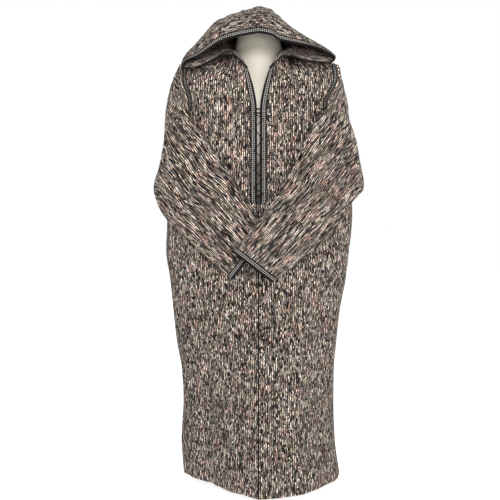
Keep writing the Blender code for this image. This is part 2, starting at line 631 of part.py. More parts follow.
def add_armhole_braid(side, front, back, first):
    """Braid beside the armhole, up the front, over the shoulder and down the back."""
    back_columns = (-2, -1) if side > 0 else (1, 0)
    up = (front.outer()[first:, -2:], front.normals[first:, -2:])
    down = (back.outer()[first:, back_columns][::-1], back.normals[first:, back_columns][::-1])
    points = np.concatenate((up[0][:-1], 0.5 * (up[0][-1:] + down[0][:1]), down[0][1:]))
    normals = np.concatenate((up[1][:-1], unit(up[1][-1:] + down[1][:1]), down[1][1:]))
    add_braid("armhole_braid_" + side_name(side), points, normals)


def add_centre_braid(right, left, rows):
    """Narrow braid over the centre front seam."""
    columns = [(right, 1), (right, 0), (left, 1)]
    points = np.stack([cloth.outer()[:rows, c] for cloth, c in columns], axis=1)
    normals = np.stack([cloth.normals[:rows, c] for cloth, c in columns], axis=1)
    points[:, 1, 0] = 0.0
    normals[:, 1] = unit(right.normals[:rows, 0] + left.normals[:rows, 0])
    points[-1, :, 2] -= 2.0 * SEAM_GAP
    add_braid("centre_braid", points, normals)


def add_lacing(cloths):
    """The lace: two cross bars and a zigzag between the inner edges of the neck's braids."""
    seats = {}
    for side, cloth in cloths.items():
        rise = 2.0 * SEAM_GAP + BRAID_THICK + 0.5 * LACE_DIAMETER
        seats[side] = cloth.outer()[:, 1] + cloth.normals[:, 1] * rise
    path = []
    for side, height in LACE_TURNS:
        line = seats[side]
        for z in (height + 0.5 * LACE_LEG, height - 0.5 * LACE_LEG):
            path.append([np.interp(z, line[:, 2], line[:, i]) for i in range(3)])
    ends = [0.5 * (seats[1][V_FOOT_ROW] + seats[-1][V_FOOT_ROW]) + (0.0, 0.0, rise)
            for rise in LACE_END]
    add_tube("lacing", path[1:] + ends, 0.5 * LACE_DIAMETER, "lace")


def add_tube(name, points, radius, kind, sides=6):
    """A round thread through points, as a curve with filled caps."""
    curve = bpy.data.curves.new(name, "CURVE")
    curve.dimensions = "3D"
    curve.bevel_depth = radius
    curve.bevel_resolution = (sides - 4) // 2
    curve.use_fill_caps = True
    spline = curve.splines.new("POLY")
    spline.points.add(len(points) - 1)
    for spot, point in zip(spline.points, points):
        spot.co = (*point, 1.0)
    own = material(kind).copy()
    own.name = name + "_" + kind
    curve.materials.append(own)
    thing = bpy.data.objects.new(name, curve)
    bpy.data.collections[COLLECTION].objects.link(thing)
    return thing


def ring_points(height, half, front, back, power, sides=BUST_SIDES):
    """A closed level ring of the bust."""
    turn = 2.0 * math.pi * np.arange(sides) / sides
    x = half * np.sign(np.sin(turn)) * np.abs(np.sin(turn)) ** (2.0 / power)
    depth = np.where(np.cos(turn) > 0, front, back)
    y = -depth * np.sign(np.cos(turn)) * np.abs(np.cos(turn)) ** (2.0 / power)
    return np.stack((x, y, np.full(sides, height)), -1)


def add_bust(seam_inner):
    """Bust and neck in one smooth piece; its shoulder line lies just under the shoulder seam."""
    rings = [ring_points(*row) for row in BUST_ROWS]
    seam_x, seam_z = seam_inner
    for half, front, back, power, drop in SHOULDER_ROWS:
        height = float(np.interp(half, seam_x, seam_z)) - drop
        rings.append(ring_points(height, half, front, back, power))
    rings += [ring_points(*row) for row in NECK_ROWS]
    bm = bmesh.new()
    rows = [[bm.verts.new(p) for p in ring] for ring in rings]
    for lower, upper in zip(rows[:-1], rows[1:]):
        for i in range(BUST_SIDES):
            j = (i + 1) % BUST_SIDES
            bm.faces.new((lower[i], lower[j], upper[j], upper[i]))
    bm.faces.new(rows[0])
    bm.faces.new(rows[-1])
    return add_object("form_bust", bm, "form")


def add_round(name, radius, low, high, kind, bevel=0.0, sides=48):
    """A round upright piece with an eased top edge."""
    bm = bmesh.new()
    bmesh.ops.create_cone(bm, cap_ends=True, segments=sides, radius1=radius, radius2=radius,
                          depth=high - low)
    bmesh.ops.translate(bm, verts=bm.verts, vec=(0.0, 0.0, 0.5 * (low + high)))
    if bevel:
        rim = [e for e in bm.edges if all(v.co.z > high - 1e-6 for v in e.verts)]
        bmesh.ops.bevel(bm, geom=rim, offset=bevel, segments=3, profile=0.5, affect="EDGES",
                        material=-1)
    return add_object(name, bm, kind)


def main():
    for thing in list(bpy.data.objects):
        bpy.data.objects.remove(thing, do_unlink=True)
    bpy.context.scene.collection.children.link(bpy.data.collections.new(COLLECTION))

    levels = body_levels()
    distances = (0.0, 0.5 * CENTRE_BRAID_WIDTH, 0.5 * BRAID_WIDTH, BRAID_WIDTH)
    fronts, half_backs, cloths = {}, {}, []
    for side in (-1, 1):
        keys, rows = front_rows(side, distances, FRONT_NECK_STEPS, SHOULDER_STEPS)
        fronts[side] = Cloth("front_" + side_name(side), through(keys, rows, levels), False, side)
        keys, rows = back_rows(side, BACK_NECK_STEPS, SHOULDER_STEPS)
        half_backs[side] = through(keys, rows, levels)
    back_points = np.concatenate((half_backs[-1][:, :0:-1], half_backs[1]), axis=1)
    back = Cloth("back", back_points, False, -1)
    cloths += [fronts[-1], fronts[1], back]

    below = len(BODY_ROWS) - 1
    neck_column = len(distances) - 1 + FRONT_NECK_STEPS
    sleeves, hoods = {}, {}
    for side, sleeve_table, hood_table in ((-1, RIGHT_SLEEVE, RIGHT_HOOD), (1, LEFT_SLEEVE, LEFT_HOOD)):
        front_edge = fronts[side].points[below:, -1][::-1]
        back_edge = (back.points[below:, -1] if side > 0 else back.points[below:, 0])
        armhole = np.concatenate((front_edge, back_edge[1:-1]))
        grid = sleeve_grid(side, sleeve_table, armhole, RING_STEPS)
        sleeves[side] = Cloth("sleeve_" + side_name(side), grid, True, side)
        front_neck = fronts[side].points[-1, :neck_column + 1]
        half_back_neck = half_backs[side][-1, :BACK_NECK_STEPS][::-1]
        neckline = with_middles(np.concatenate((front_neck, half_back_neck)))
        grid = hood_grid(hood_table, neckline, HOOD_ACROSS)
        hoods[side] = Cloth("hood_" + side_name(side), grid, False, side)
        cloths += [sleeves[side], hoods[side]]

    share_mitres(cloths)
    for side in (-1, 1):
        edge = hoods[side].inward[:, -1]
        edge[1::2] = 0.5 * (edge[:-1:2] + edge[2::2])
    everything = slice(None)
    for side in (-1, 1):
        part_seam(fronts[side], ("first_column", slice(0, V_FOOT_ROW + 1)))
        part_seam(fronts[side], ("last_column", everything))
        part_seam(fronts[side], ("last_row", everything))
        part_seam(sleeves[side], ("first_row", everything))
        part_seam(hoods[side], ("last_column", everything), HOOD_SHARE)
        part_seam(hoods[side], ("last_row", everything))
    part_seam(back, ("first_column", everything))
    part_seam(back, ("last_column", everything))
    part_seam(back, ("last_row", everything))
    for cloth in cloths:
        add_cloth(cloth)

    arm_row = int(np.searchsorted(levels, ARM_BRAID_LEVEL))
    for side in (-1, 1):
        front, sleeve, hood = fronts[side], sleeves[side], hoods[side]
        add_braid("neck_braid_" + side_name(side), front.outer()[V_FOOT_ROW:, :len(distances)],
                  front.normals[V_FOOT_ROW:, :len(distances)])
        add_braid("rim_braid_" + side_name(side), hood.outer()[:, :3], hood.normals[:, :3])
        add_braid("cuff_braid_" + side_name(side), sleeve.outer()[-3:], sleeve.normals[-3:], True)
        add_armhole_braid(side, front, back, arm_row)
    add_centre_braid(fronts[-1], fronts[1], V_FOOT_ROW + 1)
    add_lacing(fronts)

    top_row = fronts[1].inner()[-1, neck_column:]
    add_bust((top_row[:, 0], top_row[:, 2]))
    add_round("form_pole", POLE_RADIUS, BASE_HEIGHT + COLLAR_HEIGHT + 2 * SEAM_GAP,
              BUST_ROWS[0][0] - SEAM_GAP, "steel", sides=24)
    add_round("form_collar", COLLAR_RADIUS, BASE_HEIGHT + SEAM_GAP,
              BASE_HEIGHT + SEAM_GAP + COLLAR_HEIGHT, "steel", bevel=0.003, sides=32)
    add_round("form_base", BASE_RADIUS, 0.0, BASE_HEIGHT, "steel", bevel=BASE_BEVEL, sides=64)


main()
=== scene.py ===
"""Hooded djellaba robe on a dress form: the finished cloth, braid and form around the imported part.

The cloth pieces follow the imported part's tables at a finer step, with a slightly slimmer hood and
upper sleeves, creases and a woven relief. Metres, +Z up, the robe faces -Y, and left and right are
the wearer's.
"""
import math

import bmesh
import bpy
import numpy as np
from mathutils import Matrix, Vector, noise


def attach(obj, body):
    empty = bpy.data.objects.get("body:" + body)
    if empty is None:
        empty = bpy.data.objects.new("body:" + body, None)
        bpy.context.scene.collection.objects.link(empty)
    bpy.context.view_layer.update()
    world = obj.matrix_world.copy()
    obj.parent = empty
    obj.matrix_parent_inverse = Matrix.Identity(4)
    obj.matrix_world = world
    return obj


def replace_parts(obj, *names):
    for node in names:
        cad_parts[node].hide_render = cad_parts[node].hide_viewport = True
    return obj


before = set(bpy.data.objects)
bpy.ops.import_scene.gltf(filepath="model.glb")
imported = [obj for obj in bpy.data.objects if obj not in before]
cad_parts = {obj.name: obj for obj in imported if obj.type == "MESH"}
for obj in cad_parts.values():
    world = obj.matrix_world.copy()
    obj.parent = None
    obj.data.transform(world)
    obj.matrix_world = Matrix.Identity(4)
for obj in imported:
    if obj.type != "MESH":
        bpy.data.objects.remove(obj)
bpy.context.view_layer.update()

# Cloth, seams and braid
WALL = 0.0024
SEAM_GAP = 0.0003
# Share of a seam's gap by which the hood's crown is drawn back, and a mitre's greatest length in
# wall thicknesses
HOOD_SHARE = 1.8
MITRE_LIMIT = 1.5
BRAID_WIDTH, ARM_BRAID_WIDTH = 0.018, 0.012
BRAID_THICK = 0.0010
ARM_BRAID_LEVEL = 1.26
# The cord woven into both edges of a braid: its width, and how far it stands above the checks
BRAID_CORD, BRAID_CORD_RISE = 0.0042, 0.0009
# Places across a braid at which its face is drawn, and where they lie on the narrow braid
CORD_PLACES = np.array((0.0, 0.0006, 0.0021, 0.0036, 0.0042, 0.009, 0.0138, 0.0144, 0.0159,
                        0.0174, 0.018))
ARM_CORD_PLACES = CORD_PLACES * ARM_BRAID_WIDTH / BRAID_WIDTH
# Rows by which the V's braids end above its foot, and by which their picots start above that
BRAID_RISE, PICOT_RISE = 2, 4
# Cords over raw edges: diameter, and how far they stand out past the edge
EDGE_CORD_DIAMETER, EDGE_CORD_OFFSET = 0.0050, 0.0008
# Cords on the armhole braids: diameter, and how far their middle lies above the checks
ARM_CORD_DIAMETER, ARM_CORD_LIFT = 0.0034, 0.0006
# Height of the centre seam's braid above its underside, at places across it
CENTRE_BRAID_RISE = np.array((0.0004, 0.0011, 0.0014, 0.0011, 0.0004))
# Picots: step along the braid, reach of the low and the high ones, thickness and lift
PICOT_STEP, PICOT_REACH, PICOT_THICK, PICOT_LIFT = 0.0018, (0.0004, 0.0032), 0.0008, 0.0002
# Lace: heights of its two bars, and its turns from the top down, each a side (-1 is the wearer's
# right) and a height
LACE_DIAMETER, BAR_DIAMETER = 0.0034, 0.0050
LACE_BARS = (1.2575, 1.244)
LACE_TURNS = ((-1, 1.244), (1, 1.225), (-1, 1.194), (1, 1.158), (-1, 1.122), (1, 1.093),
              (-1, 1.060), (1, 1.028), (-1, 0.999), (1, 0.981))
# Half height of a turn and how far it goes past the edge, the lace's lift above the braid, the
# heights of its knot and its end, the end's place to the side, and the knot's half sizes
TURN_HALF, TURN_REACH = 0.0026, 0.0006
LACE_LIFT = 0.0012
KNOT_LEVEL, END_LEVEL, END_X = 0.972, 0.955, 0.001
KNOT_HALVES = (0.0030, 0.0016, 0.0026)
BAR_POINTS, KNOT_POINTS = 7, 13
LACE_STEPS, KNOT_STEPS = 5, 4
# Distance of the sleeves from the body, and of the left one where the right one lies under it:
# from which x and which ring on, each with the run over which it comes in
SLEEVE_CLEAR = 0.004
UNDER_SLEEVE_STACK = 0.030
STACK_X, STACK_X_RUN = 0.075, 0.085
STACK_RING, STACK_RING_RUN = 6, 1.5
# Rings over which a sleeve leaves the armhole's own curve
SLEEVE_EASE = 0.8

# Body of the robe below the underarm, one row for each level
BODY_COLUMNS = ("height", "right_half", "left_half", "front", "back", "right_power", "left_power",
                "side_y", "half_gap")
BODY_ROWS = (
    (0.022, 0.262, 0.284, 0.236, 0.170, 1.08, 1.70, 0.030, 0.0),
    (0.140, 0.270, 0.268, 0.231, 0.175, 1.10, 1.65, 0.028, 0.0),
    (0.278, 0.263, 0.263, 0.222, 0.175, 1.15, 1.60, 0.026, 0.0),
    (0.382, 0.268, 0.264, 0.214, 0.170, 1.20, 1.60, 0.024, 0.0),
    (0.487, 0.286, 0.273, 0.204, 0.165, 1.25, 1.60, 0.020, 0.0),
    (0.591, 0.297, 0.284, 0.195, 0.158, 1.35, 1.65, 0.016, 0.0),
    (0.700, 0.308, 0.304, 0.184, 0.150, 1.45, 1.70, 0.012, 0.0),
    (0.800, 0.321, 0.315, 0.175, 0.143, 1.55, 1.80, 0.008, 0.0),
    (0.880, 0.318, 0.324, 0.168, 0.138, 1.70, 1.85, 0.006, 0.0),
    (0.935, 0.316, 0.326, 0.164, 0.134, 1.75, 1.90, 0.005, 0.0),
    (0.960, 0.314, 0.325, 0.162, 0.132, 1.80, 1.90, 0.004, 0.008),
    (1.060, 0.300, 0.306, 0.155, 0.127, 1.95, 1.95, 0.002, 0.008),
    (1.160, 0.278, 0.282, 0.148, 0.122, 2.00, 2.00, 0.000, 0.008),
)
CHEST_SECTION = (1.285, 0.270, 0.266, 0.143, 0.118, 2.00, 2.00, 0.000, 0.008)
HEM, UNDERARM = BODY_ROWS[0][0], BODY_ROWS[-1][0]
BACK_POWER = 2.2
# Share of the half width up to which the front's curve is followed
SIDE_LIMIT = 0.97

# Rows above the underarm: the middle and the armhole edge of the fronts and the back
UPPER_COLUMNS = ("height", "half_gap", "mid_y", "mid_z", "right_edge", "left_edge", "edge_y",
                 "edge_z", "power", "back_y", "back_z", "back_edge_y")
UPPER_ROWS = (
    (1.270, 0.0085, -0.143, 1.260, 0.232, 0.226, -0.075, 1.285, 1.6, 0.118, 1.270, 0.065),
    (1.360, 0.0200, -0.131, 1.335, 0.254, 0.264, -0.060, 1.385, 1.5, 0.108, 1.385, 0.055),
)
# Level of the top row, and the points of the neckline and the shoulder seam that it runs through
TOP_LEVEL = 1.440
V_BEND = (0.034, -0.117, 1.388)
NECK_POINT = (0.095, 0.0, 1.487)
SHOULDER_TIP = (0.252, 0.0, 1.440)
BACK_NECK = (0.0, 0.086, 1.476)
# Powers by which the neckline rises from its middle, in front and behind
V_RISE, BACK_RISE = 1.1, 2.0
V_BOTTOM = 0.935
# How far the cloth is rounded over the form's shoulder, the part of it upwards, and the distance
# from the middle from which it comes in, with the run
SHOULDER_ROUND, ROUND_UP = 0.022, 0.6
ROUND_START, ROUND_RUN = 0.075, 0.045

# Soft vertical folds: place round the skirt in degrees from the front towards the wearer's left,
# half width in degrees, depth at the hem and the height at which the fold ends
FOLDS = (
    (-28, 13, 0.006, 0.80),
    (-62, 12, -0.008, 0.85),
    (-82, 10, 0.006, 0.80),
    (-112, 16, -0.012, 0.95),
    (-140, 15, 0.011, 1.05),
    (-166, 14, -0.012, 1.00),
    (172, 13, 0.010, 1.10),
    (146, 16, -0.013, 1.00),
    (118, 15, 0.010, 0.90),
    (64, 14, -0.007, 0.75),
    (36, 12, 0.006, 0.80),
)

# Sleeve rings: outer edge, underarm edge, how far each lies before the body, and how far the
# middle of the front layer and of the back layer stand off the line between the edges
SLEEVE_COLUMNS = ("out_x", "out_z", "out_lift", "in_x", "in_z", "in_lift", "front", "back")
RIGHT_SLEEVE = (
    (-0.304, 1.351, -0.020, -0.244, 1.262, 0.026, (0.004, -0.030, 0.0), (-0.042, 0.085, -0.10)),
    (-0.313, 1.239, -0.010, -0.219, 1.224, 0.022, (0.000, -0.030, 0.0), (-0.038, 0.085, -0.08)),
    (-0.333, 1.107, 0.000, -0.192, 1.184, 0.018, (0.000, -0.030, 0.0), (-0.025, 0.065, -0.05)),
    (-0.356, 1.014, 0.005, -0.168, 1.152, 0.016, (0.000, -0.024, 0.0), (-0.01, 0.035, -0.02)),
    (-0.339, 0.948, 0.012, -0.147, 1.123, 0.015, (0.000, -0.018, 0.0), (0.00, 0.018, 0.00)),
    (-0.300, 0.890, 0.015, -0.124, 1.096, 0.015, (0.000, -0.012, 0.0), (0.00, 0.012, 0.00)),
    (-0.243, 0.846, 0.015, -0.088, 1.044, 0.015, (0.000, -0.010, 0.0), (0.00, 0.010, 0.00)),
    (-0.189, 0.794, 0.015, -0.053, 0.992, 0.015, (0.000, -0.010, 0.0), (0.00, 0.010, 0.00)),
    (-0.137, 0.749, 0.015, -0.021, 0.944, 0.015, (0.000, -0.010, 0.0), (0.00, 0.010, 0.00)),
    (-0.085, 0.707, 0.014, 0.014, 0.838, 0.014, (0.000, -0.008, 0.0), (0.00, 0.008, 0.00)),
)
LEFT_SLEEVE = (
    (0.291, 1.368, -0.020, 0.238, 1.272, 0.026, (-0.004, -0.030, 0.0), (0.044, 0.085, -0.10)),
    (0.304, 1.273, -0.010, 0.200, 1.238, 0.022, (0.000, -0.030, 0.0), (0.040, 0.085, -0.09)),
    (0.330, 1.182, 0.000, 0.169, 1.191, 0.018, (0.000, -0.030, 0.0), (0.03, 0.070, -0.06)),
    (0.349, 1.079, 0.005, 0.145, 1.139, 0.016, (0.000, -0.024, 0.0), (0.02, 0.050, -0.04)),
    (0.357, 1.017, 0.010, 0.118, 1.088, 0.016, (0.000, -0.020, 0.0), (0.00, 0.022, -0.02)),
    (0.310, 0.953, 0.018, 0.082, 1.022, 0.024, (0.000, -0.012, 0.0), (0.00, 0.012, 0.00)),
    (0.249, 0.865, 0.020, 0.040, 0.949, 0.034, (0.000, -0.012, 0.0), (0.00, 0.012, 0.00)),
    (0.188, 0.806, 0.022, -0.002, 0.892, 0.038, (0.000, -0.010, 0.0), (0.00, 0.010, 0.00)),
    (0.120, 0.752, 0.028, -0.040, 0.844, 0.040, (0.000, -0.010, 0.0), (0.00, 0.010, 0.00)),
    (0.046, 0.699, 0.034, -0.082, 0.797, 0.040, (0.000, -0.008, 0.0), (0.00, 0.008, 0.00)),
)
# Power that rounds a sleeve's two edges
EDGE_ROUND = 0.75
# The point that the grain of each sleeve runs to, seen from the front, and the distance from it
# at which the grain has its true spacing
SLEEVE_FANS = {-1: (0.734, -0.097), 1: (-0.571, 0.040)}
FAN_RADIUS = 1.55
# How far a sleeve's second ring lies from the armhole, outwards, ahead and up
ARMHOLE_ROLL = (0.012, -0.004, -0.002)

# Hood ribs, from the V round the rim to the top of the crown: place along the rim, the rim point,
# the front pull of the rib's curve, and its back pull measured from where the rib is sewn on
RIGHT_HOOD = (
    (0.00, (-0.036, -0.119, 1.398), (-0.036, -0.119, 1.396), (0.000, 0.000, 0.004)),
    (0.10, (-0.062, -0.122, 1.425), (-0.056, -0.118, 1.428), (0.000, 0.002, 0.012)),
    (0.17, (-0.098, -0.120, 1.452), (-0.088, -0.108, 1.462), (0.004, 0.004, 0.022)),
    (0.27, (-0.149, -0.110, 1.427), (-0.140, -0.080, 1.455), (0.006, 0.004, 0.030)),
    (0.41, (-0.222, -0.102, 1.402), (-0.225, -0.050, 1.455), (-0.004, 0.000, 0.035)),
    (0.46, (-0.241, -0.098, 1.403), (-0.266, -0.030, 1.450), (-0.028, 0.010, 0.034)),
    (0.51, (-0.251, -0.094, 1.413), (-0.292, -0.016, 1.466), (-0.050, 0.028, 0.034)),
    (0.56, (-0.240, -0.098, 1.427), (-0.282, -0.018, 1.490), (-0.060, 0.045, 0.040)),
    (0.64, (-0.203, -0.106, 1.440), (-0.262, -0.022, 1.528), (-0.070, 0.070, 0.050)),
    (0.74, (-0.120, -0.118, 1.489), (-0.160, -0.060, 1.645), (-0.050, 0.110, 0.120)),
    (0.87, (-0.061, -0.120, 1.505), (-0.068, -0.080, 1.684), (-0.022, 0.150, 0.166)),
    (1.00, (-0.000, -0.120, 1.516), (-0.003, -0.080, 1.719), (0.000, 0.180, 0.203)),
)
LEFT_HOOD = (
    (0.00, (0.036, -0.119, 1.398), (0.036, -0.119, 1.396), (0.000, 0.000, 0.004)),
    (0.09, (0.058, -0.122, 1.418), (0.054, -0.118, 1.421), (0.000, 0.002, 0.012)),
    (0.16, (0.084, -0.120, 1.438), (0.078, -0.108, 1.447), (-0.004, 0.004, 0.020)),
    (0.22, (0.107, -0.116, 1.438), (0.101, -0.098, 1.452), (-0.006, 0.004, 0.024)),
    (0.31, (0.160, -0.110, 1.424), (0.152, -0.070, 1.456), (-0.004, 0.004, 0.030)),
    (0.41, (0.234, -0.100, 1.420), (0.240, -0.040, 1.462), (0.004, 0.000, 0.035)),
    (0.46, (0.248, -0.097, 1.426), (0.262, -0.030, 1.466), (0.025, 0.010, 0.035)),
    (0.51, (0.253, -0.094, 1.437), (0.285, -0.015, 1.482), (0.045, 0.028, 0.035)),
    (0.56, (0.238, -0.099, 1.450), (0.270, -0.018, 1.494), (0.050, 0.045, 0.040)),
    (0.64, (0.195, -0.108, 1.468), (0.221, -0.030, 1.526), (0.052, 0.075, 0.049)),
    (0.78, (0.137, -0.118, 1.478), (0.112, -0.060, 1.602), (0.030, 0.120, 0.112)),
    (0.88, (0.071, -0.124, 1.490), (0.060, -0.080, 1.670), (0.027, 0.150, 0.162)),
    (0.93, (0.044, -0.122, 1.507), (0.036, -0.080, 1.700), (0.016, 0.165, 0.185)),
    (1.00, (0.000, -0.120, 1.516), (-0.003, -0.080, 1.719), (0.000, 0.180, 0.203)),
)
# Power that crowds the hood's ribs, the greatest share of a short rib that its braid takes, and the
# steps in which a rib is measured
RIM_CROWDING = 0.7
BRAID_SHARE = 0.6
FINE_STEPS = 60

# Dress form: height, half width, front depth, back depth, power, drop below the shoulder seam. The
# shoulder rings have no height, because they follow the seam that rests on them.
BUST_ROWS = (
    (0.800, 0.145, 0.100, 0.095, 2.2),
    (0.830, 0.158, 0.110, 0.105, 2.2),
    (0.920, 0.164, 0.114, 0.110, 2.2),
    (1.050, 0.152, 0.113, 0.098, 2.2),
    (1.100, 0.160, 0.133, 0.099, 2.2),
    (1.180, 0.168, 0.137, 0.100, 2.2),
    (1.280, 0.185, 0.125, 0.100, 2.2),
    (1.350, 0.196, 0.099, 0.086, 2.1),
    (1.400, 0.204, 0.070, 0.066, 1.8),
)
SHOULDER_ROWS = (
    (0.200, 0.046, 0.046, 1.1, 0.0004),
    (0.160, 0.040, 0.040, 1.1, 0.0004),
    (0.125, 0.024, 0.024, 1.0, 0.0020),
    (0.086, 0.030, 0.034, 1.8, 0.0060),
)
NECK_ROWS = (
    (1.500, 0.080, 0.048, 0.054, 2.1),
    (1.522, 0.075, 0.050, 0.054, 2.1),
    (1.545, 0.072, 0.050, 0.054, 2.1),
    (1.560, 0.066, 0.046, 0.050, 2.1),
    (1.570, 0.046, 0.032, 0.036, 2.1),
)

# The neck's front where it runs out over the chest: height, half width and depth
THROAT_ROWS = (
    (1.300, 0.160, 0.106),
    (1.350, 0.145, 0.096),
    (1.400, 0.122, 0.081),
    (1.450, 0.098, 0.065),
    (1.480, 0.086, 0.056),
    (1.500, 0.080, 0.050),
    (1.522, 0.075, 0.042),
    (1.545, 0.072, 0.020),
)
# How softly the neck runs out into the chest
THROAT_BLEND = 0.008

# Creases on the sleeves: from one place to another seen from the front, in metres, then
# half width, height (a valley's is below zero) and layer (1 is the front one, -1 the hidden one)
SLEEVE_CREASE_COLUMNS = ("x0", "z0", "x1", "z1", "half_width", "height", "layer")
SLEEVE_RIGHT_CREASES = (
    (-0.222, 1.226, -0.036, 0.968, 0.0070, 0.0044, 1),
    (-0.236, 1.204, -0.056, 0.938, 0.0070, -0.0060, 1),
    (-0.252, 1.150, -0.098, 0.880, 0.0080, 0.0036, 1),
    (-0.262, 1.106, -0.070, 0.842, 0.0060, -0.0030, 1),
    (-0.284, 1.092, -0.140, 0.838, 0.0085, -0.0034, 1),
    (-0.296, 1.050, -0.150, 0.800, 0.0075, 0.0034, 1),
    (-0.300, 1.000, -0.176, 0.812, 0.0070, -0.0028, 1),
    (-0.338, 0.996, -0.262, 0.940, 0.0080, -0.0036, 1),
    (-0.332, 1.030, -0.240, 0.982, 0.0090, 0.0034, 1),
    (-0.312, 0.936, -0.222, 0.884, 0.0070, 0.0028, 1),
    (-0.262, 1.290, -0.296, 1.120, 0.0120, -0.0034, 1),
    (-0.290, 1.300, -0.318, 1.170, 0.0100, 0.0026, 1),
    (-0.270, 1.120, -0.120, 0.860, 0.0090, -0.0032, -1),
    (-0.240, 1.160, -0.080, 0.900, 0.0080, 0.0030, -1),
    (-0.320, 1.000, -0.200, 0.850, 0.0090, 0.0034, -1),
)
SLEEVE_LEFT_CREASES = (
    (0.236, 1.245, 0.262, 1.180, 0.0065, -0.0070, 1),
    (0.262, 1.180, 0.326, 1.076, 0.0065, -0.0075, 1),
    (0.222, 1.232, 0.246, 1.176, 0.0075, 0.0056, 1),
    (0.246, 1.176, 0.310, 1.070, 0.0080, 0.0060, 1),
    (0.196, 1.206, 0.008, 0.884, 0.0070, -0.0058, 1),
    (0.212, 1.186, 0.028, 0.856, 0.0075, 0.0056, 1),
    (0.236, 1.150, 0.056, 0.832, 0.0065, -0.0036, 1),
    (0.262, 1.112, 0.094, 0.812, 0.0085, 0.0036, 1),
    (0.286, 1.060, 0.140, 0.800, 0.0075, -0.0036, 1),
    (0.300, 1.020, 0.180, 0.806, 0.0080, 0.0030, 1),
    (0.330, 1.006, 0.236, 0.960, 0.0075, -0.0036, 1),
    (0.318, 1.034, 0.226, 1.000, 0.0085, 0.0032, 1),
    (0.292, 0.944, 0.200, 0.872, 0.0070, -0.0026, 1),
    (0.290, 1.290, 0.318, 1.130, 0.0110, -0.0030, 1),
    (0.260, 1.110, 0.090, 0.840, 0.0090, -0.0032, -1),
    (0.230, 1.170, 0.050, 0.880, 0.0080, 0.0030, -1),
    (0.310, 1.010, 0.180, 0.850, 0.0090, 0.0034, -1),
)
# Creases on the flat-cut pieces, as shares across and along the piece
CREASE_COLUMNS = ("across0", "along0", "across1", "along1", "half_width", "height")
FRONT_RIGHT_CREASES = (
    (0.30, 0.98, 0.22, 0.72, 0.0110, -0.0030),
    (0.52, 0.97, 0.40, 0.76, 0.0140, 0.0032),
    (0.66, 0.95, 0.62, 0.80, 0.0090, -0.0028),
    (0.45, 0.42, 0.52, 0.06, 0.0180, -0.0040),
    (0.70, 0.50, 0.78, 0.12, 0.0150, 0.0036),
    (0.22, 0.36, 0.18, 0.10, 0.0160, 0.0024),
)
FRONT_LEFT_CREASES = (
    (0.26, 0.98, 0.24, 0.74, 0.0120, -0.0030),
    (0.44, 0.97, 0.36, 0.78, 0.0130, 0.0030),
    (0.62, 0.96, 0.56, 0.82, 0.0085, -0.0030),
    (0.38, 0.44, 0.30, 0.04, 0.0170, 0.0036),
    (0.58, 0.48, 0.62, 0.08, 0.0190, -0.0042),
    (0.82, 0.46, 0.84, 0.15, 0.0140, 0.0030),
)
BACK_CREASES = (
    (0.20, 0.94, 0.26, 0.70, 0.0160, -0.0034),
    (0.34, 0.96, 0.36, 0.60, 0.0150, 0.0034),
    (0.50, 0.93, 0.47, 0.52, 0.0190, -0.0036),
    (0.66, 0.95, 0.63, 0.62, 0.0140, 0.0032),
    (0.81, 0.94, 0.76, 0.72, 0.0150, -0.0034),
    (0.30, 0.86, 0.72, 0.84, 0.0120, 0.0022),
)
HOOD_RIGHT_CREASES = (
    (0.30, 0.60, 0.86, 0.70, 0.0090, -0.0034),
    (0.22, 0.78, 0.80, 0.82, 0.0110, 0.0030),
    (0.34, 0.50, 0.90, 0.54, 0.0080, 0.0032),
    (0.30, 0.90, 0.72, 0.92, 0.0090, -0.0026),
)
HOOD_LEFT_CREASES = (
    (0.28, 0.62, 0.84, 0.72, 0.0085, -0.0036),
    (0.24, 0.84, 0.76, 0.86, 0.0120, 0.0032),
    (0.36, 0.52, 0.88, 0.57, 0.0075, 0.0032),
    (0.32, 0.74, 0.60, 0.78, 0.0080, 0.0026),
)

# Woven relief in the mesh: width across the grain, length along it and height, in metres
WAVES = ((0.016, 0.055, 0.0011), (0.045, 0.160, 0.0018))
# A sewn edge dips by this, over this half width, and relief fades in over this far from an edge
SEAM_DIP, SEAM_DIP_HALF = 0.0010, 0.0025
SEAM_FADE = 0.010
# How fast a crease rises from its ends, and the share that it has at them
CREASE_TAPER, CREASE_END = 5.0, 0.15
# How far in a cloth stays flat at a sewn edge, at the hood's foot and at its crown
SEAM_FLAT, FOOT_FLAT, CROWN_FLAT = 0.002, 0.010, 0.001

# Mesh density, in steps along and across the pieces
SKIRT_STEPS, V_STEPS, ARM_STEPS = 152, 38, 52
FRONT_DISTANCES = (0.0, 0.0025, 0.0055, 0.009, 0.0135, 0.018)
FRONT_NECK_STEPS = 14
SHOULDER_STEPS = 42
BACK_NECK_STEPS = 14
RING_STEPS = 12
HOOD_ACROSS, HOOD_BRAID_STEPS = 40, 6
HOOD_SPLITS = 2
BUST_SIDES = 96
BUST_STEPS = 6

# Light of the walls, and the lamps: name, place, aim, size, power and colour
WALL_LIGHT = 0.50
LAMPS = (
    ("key", (0.30, -3.1, 3.7), (0.0, 0.0, 1.0), 2.2, 140.0, "fffbf8"),
    ("fill", (1.5, -3.2, 1.1), (0.0, 0.0, 1.3), 1.6, 44.0, "fff4ee"),
)
FLOOR_SIZE = 30.0

CAMERA_PLACE = (0.0, -2.40, 0.80)
CAMERA_LENS = 50.0
CAMERA_SHIFT = -0.017


def named(columns, rows, name):
    """One named column of a table as an array."""
    return np.array([row[columns.index(name)] for row in rows], float)


def unit(vectors):
    """Vectors of length 1."""
    lengths = np.linalg.norm(vectors, axis=-1, keepdims=True)
    return vectors / np.maximum(lengths, 1e-12)


def smooth_step(x):
    """A soft step from 0 to 1 as x goes from 0 to 1."""
    x = np.clip(x, 0.0, 1.0)
    return x * x * (3.0 - 2.0 * x)


